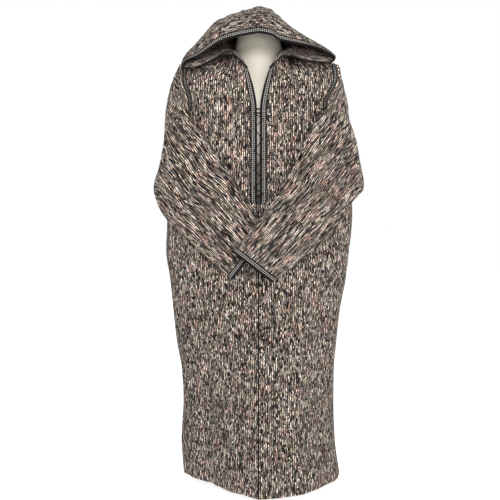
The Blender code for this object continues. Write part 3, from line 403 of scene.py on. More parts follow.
def through(places, values, at):
    """Smooth curve through values at places that never overshoots them (monotone cubic)."""
    places = np.asarray(places, float)
    values = np.asarray(values, float)
    at = np.atleast_1d(np.asarray(at, float))
    shape = (-1,) + (1,) * (values.ndim - 1)
    gaps = np.diff(places).reshape(shape)
    rise = np.diff(values, axis=0) / gaps
    slopes = np.zeros_like(values)
    slopes[0], slopes[-1] = rise[0], rise[-1]
    before, after = rise[:-1], rise[1:]
    w1 = 2.0 * gaps[1:] + gaps[:-1]
    w2 = gaps[1:] + 2.0 * gaps[:-1]
    same = before * after > 0.0
    safe_before = np.where(same, before, 1.0)
    safe_after = np.where(same, after, 1.0)
    slopes[1:-1] = np.where(same, (w1 + w2) / (w1 / safe_before + w2 / safe_after), 0.0)
    index = np.clip(np.searchsorted(places, at, side="right") - 1, 0, len(places) - 2)
    step = (places[index + 1] - places[index]).reshape(shape)
    t = ((at - places[index]).reshape(shape)) / step
    return ((1 + 2 * t) * (1 - t) ** 2 * values[index] + t * (1 - t) ** 2 * step * slopes[index]
            + t * t * (3 - 2 * t) * values[index + 1] + t * t * (t - 1) * step * slopes[index + 1])


def side_name(side):
    """The wearer's side: 1 is left and -1 is right."""
    return "left" if side > 0 else "right"


def section_at(heights, side):
    """Half width, front depth, back depth, power and side seam of the body at some heights."""
    rows = BODY_ROWS + (CHEST_SECTION,)
    levels = named(BODY_COLUMNS, rows, "height")
    heights = np.clip(heights, levels[0], levels[-1])
    names = (side_name(side) + "_half", "front", "back", side_name(side) + "_power", "side_y")
    return [through(levels, named(BODY_COLUMNS, rows, name), heights) for name in names]


def curve_depth(x, half, depth, power):
    """How far a rounded section stands out at x; a higher power is fuller."""
    share = np.clip(np.abs(x) / half, 0.0, 1.0)
    return depth * (1.0 - share ** power) ** (1.0 / power)


def body_front_y(x, z):
    """Y of the body's front surface, without its folds."""
    x, z = np.broadcast_arrays(np.asarray(x, float), np.asarray(z, float))
    flat_x, flat_z = x.ravel(), z.ravel()
    result = np.zeros_like(flat_x)
    for side in (-1, 1):
        mask = (flat_x * side) >= 0
        half, front, _, power, side_y = section_at(flat_z[mask], side)
        inside = np.minimum(np.abs(flat_x[mask]), SIDE_LIMIT * half)
        result[mask] = side_y - curve_depth(inside, half, front + side_y, power)
    return result.reshape(x.shape)


def push_clear(points, clear):
    """Move points out of the body's section, plus a clearance for each."""
    flat = points.reshape(-1, 3).copy()
    clear = np.broadcast_to(clear, points.shape[:-1]).ravel()
    for side in (-1, 1):
        mask = (flat[:, 0] * side) >= 0
        x, y, z = flat[mask].T
        half, front, back, power, side_y = section_at(z, side)
        ahead = y < side_y
        depth = np.where(ahead, front + side_y, back - side_y) + clear[mask]
        power = np.where(ahead, power, BACK_POWER)
        wide = half + clear[mask]
        offset = y - side_y
        reach = (np.abs(x / wide) ** power + np.abs(offset / depth) ** power) ** (1.0 / power)
        grow = np.where(reach < 1.0, 1.0 / np.maximum(reach, 1e-6), 1.0)
        flat[mask, 0] = x * grow
        flat[mask, 1] = side_y + offset * grow
    return flat.reshape(points.shape)


def fold_body(points):
    """Lay the soft vertical folds into points of the skirt."""
    x, y, z = np.moveaxis(points, -1, 0)
    angle = np.degrees(np.arctan2(x, -y))
    amount = np.zeros_like(x)
    for place, half_width, depth, top in FOLDS:
        away = np.abs((angle - place + 180.0) % 360.0 - 180.0) / half_width
        shape = np.where(away < 1.0, 0.5 + 0.5 * np.cos(math.pi * np.minimum(away, 1.0)), 0.0)
        amount += depth * shape * smooth_step((top - z) / (top - HEM))
    grow = 1.0 + amount / np.hypot(x, y)
    return np.stack((x * grow, y * grow, z), axis=-1)


def spread(distances, shares, start, end, end_braid):
    """Places from start: fixed distances, then shares of what is left, then the edge braid."""
    last = distances[-1]
    middle = start + last + (end - end_braid - start - last) * np.asarray(shares)
    return np.concatenate((start + np.asarray(distances[:-1]), middle, [end]))


def panel_rows(side, behind):
    """Key rows of a front panel, or of half of the back, with columns from the middle out."""
    distances, facing = ((0.0,), 1.0) if behind else (FRONT_DISTANCES, -1.0)
    neck_steps = BACK_NECK_STEPS if behind else FRONT_NECK_STEPS
    count = neck_steps + SHOULDER_STEPS
    eased = np.sin(0.5 * math.pi * np.arange(count + 1) / count)
    rows, levels = [], []
    for row in BODY_ROWS:
        item = dict(zip(BODY_COLUMNS, row))
        half = item[side_name(side) + "_half"]
        depth, power, gap = (item["back"], BACK_POWER, 0.0) if behind else (
            item["front"], item[side_name(side) + "_power"], item["half_gap"])
        x = spread(distances, eased, gap, half, ARM_BRAID_WIDTH)
        y = item["side_y"] + facing * curve_depth(x, half, depth - facing * item["side_y"], power)
        rows.append(fold_body(np.stack((side * x, y, np.full_like(x, item["height"])), -1)))
        levels.append(item["height"])
    for row in UPPER_ROWS:
        item = dict(zip(UPPER_COLUMNS, row))
        edge = item[side_name(side) + "_edge"]
        mid_y, mid_z, edge_y, power, gap = (
            (item["back_y"], item["back_z"], item["back_edge_y"], BACK_POWER, 0.0) if behind else
            (item["mid_y"], item["mid_z"], item["edge_y"], item["power"], item["half_gap"]))
        x = spread(distances, eased, gap, edge, ARM_BRAID_WIDTH)
        share = (x - gap) / (edge - gap)
        y = edge_y + (mid_y - edge_y) * curve_depth(share, 1.0, 1.0, power)
        z = mid_z + (item["edge_z"] - mid_z) * share ** 2
        rows.append(np.stack((side * x, y, z), -1))
        levels.append(item["height"])
    (start, neck_y, low), rise = (BACK_NECK, BACK_RISE) if behind else (V_BEND, V_RISE)
    last, neck, tip = distances[-1], NECK_POINT[0], SHOULDER_TIP[0]
    x = np.concatenate((
        start + np.asarray(distances[:-1]),
        start + last + (neck - start - last) * (np.arange(neck_steps) / neck_steps),
        neck + (tip - ARM_BRAID_WIDTH - neck) * (np.arange(SHOULDER_STEPS + 1) / SHOULDER_STEPS),
        [tip]))
    share = np.clip((x - start) / (neck - start), 0.0, 1.0)
    fall = (NECK_POINT[2] - SHOULDER_TIP[2]) / (tip - neck)
    z = np.where(x > neck, NECK_POINT[2] - fall * (x - neck),
                 low + (NECK_POINT[2] - low) * share ** rise)
    add_top(rows, levels, np.stack((side * x, neck_y * np.sqrt(1.0 - share ** 2), z), -1), facing)
    return levels, np.array(rows)


def add_top(rows, levels, top, facing):
    """Add the top row, and one before it that rounds the cloth over the form's shoulder."""
    halfway = 0.5 * (rows[-1] + top)
    over_shoulder = smooth_step((np.abs(top[:, 0]) - ROUND_START) / ROUND_RUN)
    halfway += over_shoulder[:, None] * SHOULDER_ROUND * np.array((0.0, facing, ROUND_UP))
    levels += [0.5 * (levels[-1] + TOP_LEVEL), TOP_LEVEL]
    rows += [halfway, top]


def sleeve_keys(side, table, armhole):
    """Key rings of a sleeve: the armhole's loop, its roll and a ring for each row of the table."""
    turn = np.linspace(0.0, math.pi, armhole.shape[0] // 2 + 1)
    across = 0.5 - 0.5 * np.cos(turn)
    bulge = np.sin(turn) ** EDGE_ROUND
    rings = [armhole, armhole + np.array(ARMHOLE_ROLL) * (side, 1.0, 1.0)]
    for row in table:
        item = dict(zip(SLEEVE_COLUMNS, row))
        out_y = float(body_front_y(item["out_x"], item["out_z"])) - item["out_lift"]
        in_y = float(body_front_y(item["in_x"], item["in_z"])) - item["in_lift"]
        outer = np.array((item["out_x"], out_y, item["out_z"]))
        inner = np.array((item["in_x"], in_y, item["in_z"]))
        straight = outer + (inner - outer) * across[:, None]
        lift = item["out_lift"] + (item["in_lift"] - item["out_lift"]) * across
        over_body = body_front_y(straight[:, 0], straight[:, 2]) - lift
        straight[:, 1] = np.minimum(straight[:, 1], over_body)
        front = straight + bulge[:, None] * np.array(item["front"])
        back = straight + bulge[:, None] * np.array(item["back"])
        rings.append(np.concatenate((front, back[-2:0:-1])))
    return np.array(rings)


def sleeve_grid(side, table, armhole):
    """A sleeve's outer points: [ring, place round it, xyz], clear of the body and each other."""
    keys = sleeve_keys(side, table, armhole)
    rings = np.linspace(0, len(keys) - 1, (len(keys) - 1) * RING_STEPS + 1)
    grid = through(np.arange(len(keys)), keys, rings)
    ease = smooth_step(rings / SLEEVE_EASE)[:, None]
    clear = SLEEVE_CLEAR * ease * np.ones(grid.shape[:2])
    if side > 0:
        over = smooth_step((STACK_X - grid[..., 0]) / STACK_X_RUN)
        over = over * smooth_step((rings[:, None] - STACK_RING) / STACK_RING_RUN)
        clear = clear + (UNDER_SLEEVE_STACK - SLEEVE_CLEAR) * over
    moved = push_clear(grid, clear)
    return grid + (moved - grid) * ease[..., None]


def bezier(corners, t):
    """Points of a cubic curve at places t."""
    t = t[:, None]
    return ((1 - t) ** 3 * corners[0] + 3 * (1 - t) ** 2 * t * corners[1]
            + 3 * (1 - t) * t ** 2 * corners[2] + t ** 3 * corners[3])


def hood_grid(table, neckline):
    """One half of the hood: [place along the rim, place across it, xyz]."""
    controls = np.array([row[1:] for row in table])
    lengths = arc_lengths(neckline, 0)
    ribs = through([row[0] for row in table], controls, (lengths / lengths[-1]) ** RIM_CROWDING)
    fine = np.linspace(0.0, 1.0, FINE_STEPS + 1)
    steps = HOOD_ACROSS - HOOD_BRAID_STEPS
    rows = []
    for (rim, first, stand), base in zip(ribs, neckline):
        corners = np.array((rim, first, base + stand, base))
        run = arc_lengths(bezier(corners, fine), 0)
        braid = min(BRAID_WIDTH, BRAID_SHARE * run[-1])
        distances = np.concatenate((braid * np.arange(HOOD_BRAID_STEPS) / HOOD_BRAID_STEPS,
                                    braid + (run[-1] - braid) * np.arange(steps + 1) / steps))
        rows.append(bezier(corners, np.interp(distances, run, fine)))
    return np.array(rows)


def split_line(line, times):
    """A polyline with points added between its own, each stretch cut in two some times over."""
    for _ in range(times):
        middles = 0.5 * (line[1:] + line[:-1])
        result = np.empty((len(line) + len(middles), 3))
        result[0::2] = line
        result[1::2] = middles
        line = result
    return line


def grid_normals(points, closed, outward):
    """Unit normals of a grid of points, on the side where outward is positive."""
    if closed:
        ring = np.roll(points, -1, axis=1) - np.roll(points, 1, axis=1)
    else:
        ring = np.gradient(points, axis=1)
    normals = unit(np.cross(ring, np.gradient(points, axis=0)))
    return normals * outward


def arc_lengths(points, axis):
    """Length along a grid's lines from their start."""
    steps = np.linalg.norm(np.diff(points, axis=axis), axis=-1)
    return np.concatenate((np.zeros_like(steps.take([0], axis)), np.cumsum(steps, axis)), axis)


def flat_cut(points, closed):
    """Greatest width, greatest length and area of a cloth laid flat."""
    if closed:
        points = np.concatenate((points, points[:, :1]), axis=1)
    width = float(arc_lengths(points, 1)[:, -1].max())
    length = float(arc_lengths(points, 0)[-1].max())
    ways = points[1:, 1:] - points[:-1, :-1], points[1:, :-1] - points[:-1, 1:]
    area = float(0.5 * np.linalg.norm(np.cross(*ways), axis=-1).sum())
    return width, length, area


class Cloth:
    """A cloth wall: outer points in a grid and, for each, the way to its inner point."""

    def __init__(self, name, points, closed, outward):
        self.name = name
        self.points = points
        self.closed = closed
        self.normals = grid_normals(points, closed, outward)
        self.inward = -WALL * self.normals
        self.shift = np.zeros_like(points)
        self.relief = np.zeros(points.shape[:2])

    def outer(self):
        return self.points + self.shift + self.normals * self.relief[..., None]

    def inner(self):
        return self.outer() + self.inward


def share_mitres(cloths):
    """Where walls meet at a point, give them all one way in, so that their edges match."""
    meeting = {}
    for cloth in cloths:
        rows, columns = cloth.points.shape[:2]
        edges = {(r, c) for r in range(rows) for c in (0, columns - 1)}
        edges |= {(r, c) for c in range(columns) for r in (0, rows - 1)}
        for r, c in sorted(edges):
            key = tuple(np.round(cloth.points[r, c], 5))
            meeting.setdefault(key, []).append((cloth, r, c))
    for group in meeting.values():
        if len(group) < 2:
            continue
        normals = np.array([cloth.normals[r, c] for cloth, r, c in group])
        shared = unit(normals.sum(axis=0))
        lean = max(float((normals @ shared).mean()), 1.0 / MITRE_LIMIT)
        for cloth, r, c in group:
            cloth.inward[r, c] = -shared * WALL / lean


def part_seam(cloth, edge, share=0.5):
    """Draw an edge of a wall back by its share of the seam's gap."""
    name, chosen = edge
    across = (0, 1) if name.startswith("first") else (-1, -2)
    pick = (lambda a, i: a[i]) if name.endswith("row") else (lambda a, i: a[:, i])
    line, beside = pick(cloth.points, across[0]), pick(cloth.points, across[1])
    inward, shift = pick(cloth.inward, across[0]), pick(cloth.shift, across[0])
    if cloth.closed and name.endswith("row"):
        tangent = np.roll(line, -1, axis=0) - np.roll(line, 1, axis=0)
    else:
        tangent = np.gradient(line[chosen], axis=0)
        line, beside, inward, shift = line[chosen], beside[chosen], inward[chosen], shift[chosen]
    away = unit(np.cross(tangent, inward))
    away *= np.sign(np.sum(away * (beside - line), axis=-1, keepdims=True))
    shift += share * SEAM_GAP * away


def unrolled(points, closed, start):
    """The cloth unrolled along its rows from one column: [row, column, (across, up)]."""
    if closed:
        points = np.concatenate((points, points[:, :1]), axis=1)
    step = np.diff(points, axis=1)
    level = np.hypot(step[..., 0], step[..., 1])
    nothing = np.zeros((len(points), 1))
    across = np.concatenate((nothing, np.cumsum(np.sign(step[..., 0]) * level, axis=1)), axis=1)
    if closed:
        share = np.concatenate((nothing, np.cumsum(level, axis=1)), axis=1)
        across -= across[:, -1:] * share / share[:, -1:]
    across += points[:, start:start + 1, 0] - across[:, start:start + 1]
    return np.stack((across, points[..., 2]), -1)


def grain_of(cloth, start, fan=None):
    """Grain coordinates in metres: u across the grain and v along it."""
    if fan:
        spread_out = unrolled(cloth.points, True, start) - np.array(fan)
        angle = np.arctan2(spread_out[..., 0], spread_out[..., 1])
        return np.stack((angle * FAN_RADIUS, -np.hypot(*np.moveaxis(spread_out, -1, 0))), -1)
    if cloth.name.startswith("hood"):
        across = arc_lengths(cloth.points, 1)
        steps = np.linalg.norm(np.diff(cloth.points, axis=0), axis=-1).mean(axis=1)
        along = np.concatenate(([0.0], np.cumsum(steps)))[:, None] * np.ones_like(across)
        return np.stack((across, along), -1)
    along = arc_lengths(cloth.points[..., 1:], 0)
    return np.stack((unrolled(cloth.points, False, start)[..., 0], along), -1)


def add_relief(cloth, grain, creases, edges, seed):
    """Creases and woven relief on a cloth, faded out towards the edges that are sewn or braided."""
    points = cloth.points
    across, along = arc_lengths(points, 1), arc_lengths(points, 0)
    grain = grain[:, :points.shape[1]]
    relief = np.zeros(points.shape[:2])
    if cloth.closed:
        names = SLEEVE_CREASE_COLUMNS
        places = unrolled(points, True, 0)[:, :-1]
        layer = np.where(np.arange(points.shape[1]) <= points.shape[1] // 2, 1, -1)
    else:
        names = CREASE_COLUMNS
        size = np.array((across[:, -1].max(), along[-1].max()))
        u, v = np.meshgrid(np.linspace(0, size[0], points.shape[1]),
                           np.linspace(0, size[1], points.shape[0]))
        places = np.stack((u, v), -1)
        creases = [(*np.array(row[:4]) * np.tile(size, 2), *row[4:]) for row in creases]
        layer = np.ones(points.shape[1])
    for row in creases:
        start, way = np.array(row[:2]), np.array(row[2:4]) - np.array(row[:2])
        half_width, height = row[names.index("half_width")], row[names.index("height")]
        t = np.clip((places - start) @ way / (way @ way), 0.0, 1.0)
        distance = np.linalg.norm(places - start - t[..., None] * way, axis=-1)
        taper = smooth_step(t * CREASE_TAPER + CREASE_END)
        taper = taper * smooth_step((1.0 - t) * CREASE_TAPER + CREASE_END)
        here = taper * np.exp(-(distance / half_width) ** 2)
        relief += height * here * (layer == (row[-1] if cloth.closed else 1))
    for wave_width, wave_length, height in WAVES:
        spots = np.concatenate((grain / (wave_width, wave_length),
                                np.full((*relief.shape, 1), seed + wave_width)), -1)
        values = [noise.noise(Vector(spot)) for spot in spots.reshape(-1, 3)]
        relief += height * np.array(values).reshape(relief.shape)
    fade = np.ones_like(relief)
    dip = np.zeros_like(relief)
    reach = {"first_column": across, "last_column": across[:, -1:] - across,
             "first_row": along, "last_row": along[-1:] - along}
    for edge, flat, seam in edges:
        fade *= smooth_step((reach[edge] - flat) / SEAM_FADE)
        if seam:
            dip -= SEAM_DIP * np.exp(-(reach[edge] / SEAM_DIP_HALF) ** 2)
    cloth.relief = relief * fade + dip


def shell(name, outer, inner, uv, closed, surface, sharp=50.0):
    """A cloth or braid piece: a grid made tube or sheet, given an inner side and edge walls."""
    rows, columns = outer.shape[:2]
    around = columns + 1 if closed else columns
    bm = bmesh.new()
    layer = bm.loops.layers.uv.new("grain")
    place_r = bm.verts.layers.int.new("row")
    place_c = bm.verts.layers.int.new("column")
    made = bmesh.ops.create_grid(bm, x_segments=around - 1, y_segments=rows - 1, size=0.5)
    for vert in made["verts"]:
        r = round((vert.co.y + 0.5) * (rows - 1))
        c = round((vert.co.x + 0.5) * (around - 1))
        vert[place_r], vert[place_c] = r, c
        vert.co = outer[r, c % columns]
    for face in bm.faces:
        for loop in face.loops:
            loop[layer].uv = uv[loop.vert[place_r], loop.vert[place_c]]
    if closed:
        bmesh.ops.remove_doubles(bm, verts=bm.verts, dist=1e-6)
    outside = list(bm.faces)
    copied = bmesh.ops.extrude_face_region(bm, geom=outside, use_keep_orig=True)
    for vert in copied["geom"]:
        if isinstance(vert, bmesh.types.BMVert):
            vert.co = inner[vert[place_r], vert[place_c] % columns]
    bmesh.ops.recalc_face_normals(bm, faces=bm.faces)
    bm.verts.layers.int.remove(bm.verts.layers.int["row"])
    bm.verts.layers.int.remove(bm.verts.layers.int["column"])
    return finish_piece(name, bm, surface, sharp)


def in_scene(name, data):
    """A new object in the scene."""
    made = bpy.data.objects.new(name, data)
    bpy.context.scene.collection.objects.link(made)
    return made


def mesh_of(name, bm, surface):
    """A mesh from a bmesh, with its material."""
    mesh = bpy.data.meshes.new(name)
    bm.to_mesh(mesh)
    bm.free()
    mesh.materials.append(surface)
    return mesh


def riding(piece):
    """Let a piece ride on the part, under its root body."""
    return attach(piece, "root")


def finish_piece(name, bm, surface, sharp):
    """Turn a bmesh into a smooth piece; edges over the sharp angle stay edges."""
    mesh = mesh_of(name, bm, surface)
    mesh.shade_smooth()
    mesh.set_sharp_from_angle(angle=math.radians(sharp))
    return riding(in_scene(name, mesh))


def strip(points, normals, distances, wanted):
    """Points and normals of a braid's strip, between a grid's first columns."""
    places = np.interp(wanted, distances, np.arange(len(distances)))
    low = np.minimum(places.astype(int), len(distances) - 2)
    share = (places - low)[None, :, None]
    between = points[:, low] * (1 - share) + points[:, low + 1] * share
    turned = unit(normals[:, low] * (1 - share) + normals[:, low + 1] * share)
    return between, turned


def srgb(text):
    """A linear colour from a hex code."""
    values = [int(text[i:i + 2], 16) / 255.0 for i in (0, 2, 4)]
    linear = [c / 12.92 if c <= 0.04045 else ((c + 0.055) / 1.055) ** 2.4 for c in values]
    return (*linear, 1.0)


def add_node(tree, kind, inputs=(), stops=(), **settings):
    """Add a shader node: its settings, its input values or links, and a colour ramp's stops."""
    made = tree.nodes.new("ShaderNode" + kind)
    for name, value in settings.items():
        setattr(made, name, value)
    for name, value in dict(inputs).items():
        if isinstance(value, bpy.types.NodeSocket):
            tree.links.new(value, made.inputs[name])
        else:
            made.inputs[name].default_value = value
    if stops:
        ramp = made.color_ramp
        while len(ramp.elements) < len(stops):
            ramp.elements.new(1.0)
        for element, (place, colour) in zip(ramp.elements, stops):
            element.position = place
            element.color = srgb(colour)
    return made


def add_math(tree, operation, *values, kind="Math"):
    """The result of a math node."""
    return add_node(tree, kind, dict(enumerate(values)), operation=operation).outputs[0]


def add_range(tree, factor, start, end, first, last, **settings):
    """A factor that runs from start to end, turned into values from first to last."""
    values = {0: factor, 1: start, 2: end, 3: first, 4: last}
    return add_node(tree, "MapRange", values, **settings).outputs[0]


def add_noise(tree, place, scale, detail, dimensions="3D", **inputs):
    """A noise texture."""
    values = {"Vector": place, "Scale": scale, "Detail": detail, **inputs}
    return add_node(tree, "TexNoise", values, noise_dimensions=dimensions)


def add_wave(tree, place, scale, distortion, direction, detail_scale=1.0):
    """Wave bands that wander a little."""
    values = {"Vector": place, "Scale": scale, "Distortion": distortion, "Detail": 1.0,
              "Detail Scale": detail_scale}
    return add_node(tree, "TexWave", values, bands_direction=direction).outputs["Fac"]


def stretched(tree, place, *scale, start=(0.0, 0.0, 0.0)):
    """Coordinates stretched by a scale along each axis."""
    values = {"Vector": place, "Location": start, "Scale": scale}
    return add_node(tree, "Mapping", values).outputs[0]


def new_material(name, **values):
    """A node material and its shader's values."""
    made = bpy.data.materials.new(name)
    made.use_nodes = True
    shader = made.node_tree.nodes["Principled BSDF"]
    for key, value in values.items():
        shader.inputs[key.replace("_", " ")].default_value = value
    return made, made.node_tree, shader


def surface_of(tree, shader, colour, height, strength, distance):
    """Give a shader its colour, and a bump from a height."""
    bump = add_node(tree, "Bump", {"Height": height, "Strength": strength, "Distance": distance})
    tree.links.new(colour, shader.inputs["Base Color"])
    tree.links.new(bump.outputs[0], shader.inputs["Normal"])


# Colours of the wool's slubs, each from its own share of them on
WOOL_SHADES = ((0.00, "121112"), (0.12, "373334"), (0.22, "6a6660"), (0.34, "968b86"),
               (0.49, "bfaca2"), (0.62, "efe4d8"), (0.84, "b39a8e"), (0.89, "92959c"),
               (0.93, "fffaf4"))
DYE_TINTS = ((0.34, "eeefe0"), (0.50, "fcf9f7"), (0.66, "ffe9e2"))
# A wave texture's bands at scale 1 are 2 pi / 20 apart; the ribs are 7 mm apart
RIB_SCALE = 2.0 * math.pi / (20.0 * 0.0070)
# Slubs, dark valleys of painted shade and fibres in a metre across the grain, and fibres along
# it. Real fibres are far finer; these are drawn coarser, as tufts, so that they still show from a
# step away.
SLUBS_ACROSS, VALLEYS_ACROSS, TUFTS_ACROSS, TUFTS_ALONG = 375.0, 245.0, 1100.0, 330.0
# Shift that keeps the valleys apart from the slubs
VALLEY_START = (7.0, 3.0, 0.0)


def boucle_wool(name, waver, valleys, slubs):
    """Thick crinkled wool: it shows mixed slubs along ribs 7 mm apart, with painted shade in the
    dips between the ribs, in the gaps between the slubs and in dark valleys.

    waver is how far in metres the ribs wander, and it is small where the cloth is pulled straight.
    valleys and slubs are the number of dark valleys of painted shade and of slubs in a metre along
    the grain.
    """
    made, tree, shader = new_material(name, Roughness=0.95, Specular_IOR_Level=0.15,
                                      Sheen_Weight=0.03, Sheen_Roughness=0.6)
    soft = {"interpolation_type": "SMOOTHSTEP"}
    grain = add_node(tree, "UVMap", uv_map="grain").outputs["UV"]
    crinkle = add_noise(tree, grain, 48.0, 2.0, Roughness=0.6).outputs["Color"]
    centred = add_math(tree, "SUBTRACT", crinkle, (0.5, 0.5, 0.5), kind="VectorMath")
    bent = add_math(tree, "MULTIPLY_ADD", centred, (waver, waver, 0.0), grain, kind="VectorMath")
    cells = {"Vector": stretched(tree, bent, SLUBS_ACROSS, slubs, 1.0), "Scale": 1.0}
    slub = add_node(tree, "TexVoronoi", cells, voronoi_dimensions="2D").outputs["Color"]
    edge = add_node(tree, "TexVoronoi", cells, voronoi_dimensions="2D",
                    feature="DISTANCE_TO_EDGE").outputs[0]
    random = add_node(tree, "SeparateColor", {0: slub}).outputs[0]
    shade = add_node(tree, "ValToRGB", {0: random}, stops=WOOL_SHADES)
    shade.color_ramp.interpolation = "CONSTANT"

    # Painted shade: dark valleys of noise darken the colour, and they are low in the bump too
    dark = stretched(tree, bent, VALLEYS_ACROSS, valleys, 1.0, start=VALLEY_START)
    dark = add_noise(tree, dark, 1.0, 3.0, "2D", Roughness=0.62).outputs[0]
    valley = add_range(tree, dark, 0.42, 0.50, 0.20, 1.0, **soft)
    # Painted shade: the colour darkens in the dips between the ribs
    rib = add_wave(tree, bent, RIB_SCALE, 2.6, "X", detail_scale=55.0)
    rib = add_range(tree, rib, 0.12, 0.58, 0.05, 1.0, **soft)
    patch = add_noise(tree, grain, 17.0, 3.0).outputs[0]
    patch = add_range(tree, patch, 0.3, 0.7, 0.72, 1.22)
    tuft = stretched(tree, bent, TUFTS_ACROSS, TUFTS_ALONG, 1.0)
    tuft = add_noise(tree, tuft, 1.0, 2.0, "2D", Roughness=0.6).outputs[0]
    value = patch
    # Painted shade: each slub darkens towards its edge, in the gaps between slubs; the patches and
    # tufts are the wool's own tone
    for factor in (add_range(tree, tuft, 0.3, 0.7, 0.30, 2.05),
                   add_range(tree, edge, 0.0, 0.14, 0.05, 1.0), valley, rib):
        value = add_math(tree, "MULTIPLY", value, factor)
    dye = add_noise(tree, grain, 24.0, 2.0, Distortion=0.6).outputs[0]
    tint = add_node(tree, "ValToRGB", {0: dye}, stops=DYE_TINTS).outputs[0]
    tinted = add_math(tree, "MULTIPLY", shade.outputs[0], tint, kind="VectorMath")
    colour = add_node(tree, "VectorMath", {0: tinted, "Scale": value}, operation="SCALE")

    raised = add_range(tree, edge, 0.0, 0.32, 0.0, 0.6, **soft)
    height = add_math(tree, "MULTIPLY_ADD", tuft, 0.4, raised)
    height = add_math(tree, "ADD", valley, height)
    surface_of(tree, shader, colour.outputs[0], height, 0.9, 0.0016)
    return made


def woven_braid(name, light, dark):
    """Flat braid: it shows small light checks between two black cords, dulled by wear."""
    made, tree, shader = new_material(name, Roughness=0.8, Specular_IOR_Level=0.15)
    place = add_node(tree, "UVMap", uv_map="grain").outputs["UV"]
    across = add_node(tree, "SeparateXYZ", {0: place}).outputs[0]
    away = add_math(tree, "ABSOLUTE", add_math(tree, "SUBTRACT", across, 0.5 * BRAID_WIDTH))
    on_cord = add_range(tree, away, 0.0041, 0.0043, 0.0, 1.0)
    checks = add_node(tree, "TexBrick", {
        "Vector": place, "Color1": srgb(light), "Color2": srgb(light), "Mortar": srgb(dark),
        "Scale": 1.0, "Mortar Size": 0.0016, "Mortar Smooth": 0.1, "Brick Width": 0.0090,
        "Row Height": 0.0064}, offset=0.0, squash=1.0)
    twist = add_wave(tree, place, 150.0, 1.5, "DIAGONAL")
    black = add_node(tree, "ValToRGB", {0: twist}, stops=((0.0, "060606"), (1.0, "1a191b")))
    wear = add_range(tree, add_noise(tree, place, 260.0, 3.0).outputs[0], 0.3, 0.7, 0.72, 1.1)
    worn = add_node(tree, "VectorMath", {0: checks.outputs["Color"], "Scale": wear},
                    operation="SCALE").outputs[0]
    mixed = add_node(tree, "Mix", {0: on_cord, 6: worn, 7: black.outputs[0]}, data_type="RGBA")
    height = add_math(tree, "MULTIPLY_ADD", checks.outputs["Fac"], -0.6, twist)
    surface_of(tree, shader, mixed.outputs[2], height, 0.7, 0.0005)
    return made


def black_cord():
    """Twisted black cord of the lace, the edges, the centre seam and the picots."""
    made, tree, shader = new_material("twisted_black_cord", Roughness=0.8, Specular_IOR_Level=0.15)
    place = add_node(tree, "TexCoord").outputs["Object"]
    twist = add_wave(tree, place, 190.0, 2.5, "DIAGONAL")
    black = add_node(tree, "ValToRGB", {0: twist}, stops=((0.0, "050505"), (1.0, "19181a")))
    surface_of(tree, shader, black.outputs[0], twist, 0.6, 0.0004)
    return made


def cream_form():
    """Moulded cream plastic: it shows a faint orange-peel skin and slight yellowing."""
    made, tree, shader = new_material("cream_moulded_plastic", Roughness=0.42,
                                      Specular_IOR_Level=0.45)
    place = add_node(tree, "TexCoord").outputs["Object"]
    cloud = add_noise(tree, place, 7.0, 4.0).outputs[0]
    tint = add_node(tree, "ValToRGB", {0: cloud}, stops=((0.25, "aba79b"), (0.75, "b9b6ab")))
    peel = add_noise(tree, place, 420.0, 1.0).outputs[0]
    surface_of(tree, shader, tint.outputs[0], peel, 0.15, 0.0004)
    return made


def satin_steel():
    """Satin steel of the stand: it shows fine brushing and handling marks."""
    made, tree, shader = new_material("satin_steel", Metallic=1.0)
    place = add_node(tree, "TexCoord").outputs["Object"]
    brushed = add_noise(tree, stretched(tree, place, 900.0, 900.0, 14.0), 1.0, 2.0).outputs[0]
    rough = add_range(tree, brushed, 0.3, 0.7, 0.24, 0.42)
    tree.links.new(rough, shader.inputs["Roughness"])
    marks = add_noise(tree, place, 24.0, 5.0).outputs[0]
    tint = add_node(tree, "ValToRGB", {0: marks}, stops=((0.3, "a9a8a6"), (0.7, "c4c3c1")))
    tree.links.new(tint.outputs[0], shader.inputs["Base Color"])
    return made


def pale_floor():
    """Plain pale studio floor."""
    return new_material("pale_studio_floor", Base_Color=srgb("d2d2d0"), Roughness=0.9,
                        Specular_IOR_Level=0.1, Emission_Color=srgb("ffffff"),
                        Emission_Strength=0.88)[0]


def body_levels():
    """Levels of the body's rows, with the V's foot and the underarm among them."""
    return np.concatenate((np.linspace(HEM, V_BOTTOM, SKIRT_STEPS + 1),
                           np.linspace(V_BOTTOM, UNDERARM, V_STEPS + 1)[1:],
                           np.linspace(UNDERARM, TOP_LEVEL, ARM_STEPS + 1)[1:]))


def braid_profile(places):
    """Height of a braid's face above the cloth: a round cord on each edge, flat between."""
    edge = np.minimum(places, BRAID_WIDTH - places) / BRAID_CORD
    cord = np.sqrt(np.clip(1.0 - (2.0 * edge - 1.0) ** 2, 0.0, 1.0))
    return SEAM_GAP + BRAID_THICK + np.where(edge < 1.0, BRAID_CORD_RISE * cord, 0.0)


def add_braid(name, points, normals, joined, surface):
    """A braid over cloth points [along, across]; joined closes it into a ring."""
    top = points + normals * braid_profile(CORD_PLACES)[None, :, None]
    low = points + normals * SEAM_GAP
    along = arc_lengths(points, 0).mean(axis=1)
    if joined:
        along = np.append(along, along[-1] + np.linalg.norm(points[0] - points[-1], axis=-1).mean())
        top, low = np.swapaxes(top, 0, 1), np.swapaxes(low, 0, 1)
        uv = np.stack(np.meshgrid(CORD_PLACES, along, indexing="ij"), -1)
    else:
        uv = np.stack(np.meshgrid(CORD_PLACES, along), -1)
    return shell(name, top, low, uv, joined, surface, sharp=70.0)


def even_line(points, step):
    """A polyline cut into even steps."""
    lengths = arc_lengths(points, 0)
    at = np.linspace(0.0, lengths[-1], max(2, round(lengths[-1] / step)))
    return np.stack([np.interp(at, lengths, points[:, i]) for i in range(3)], -1)


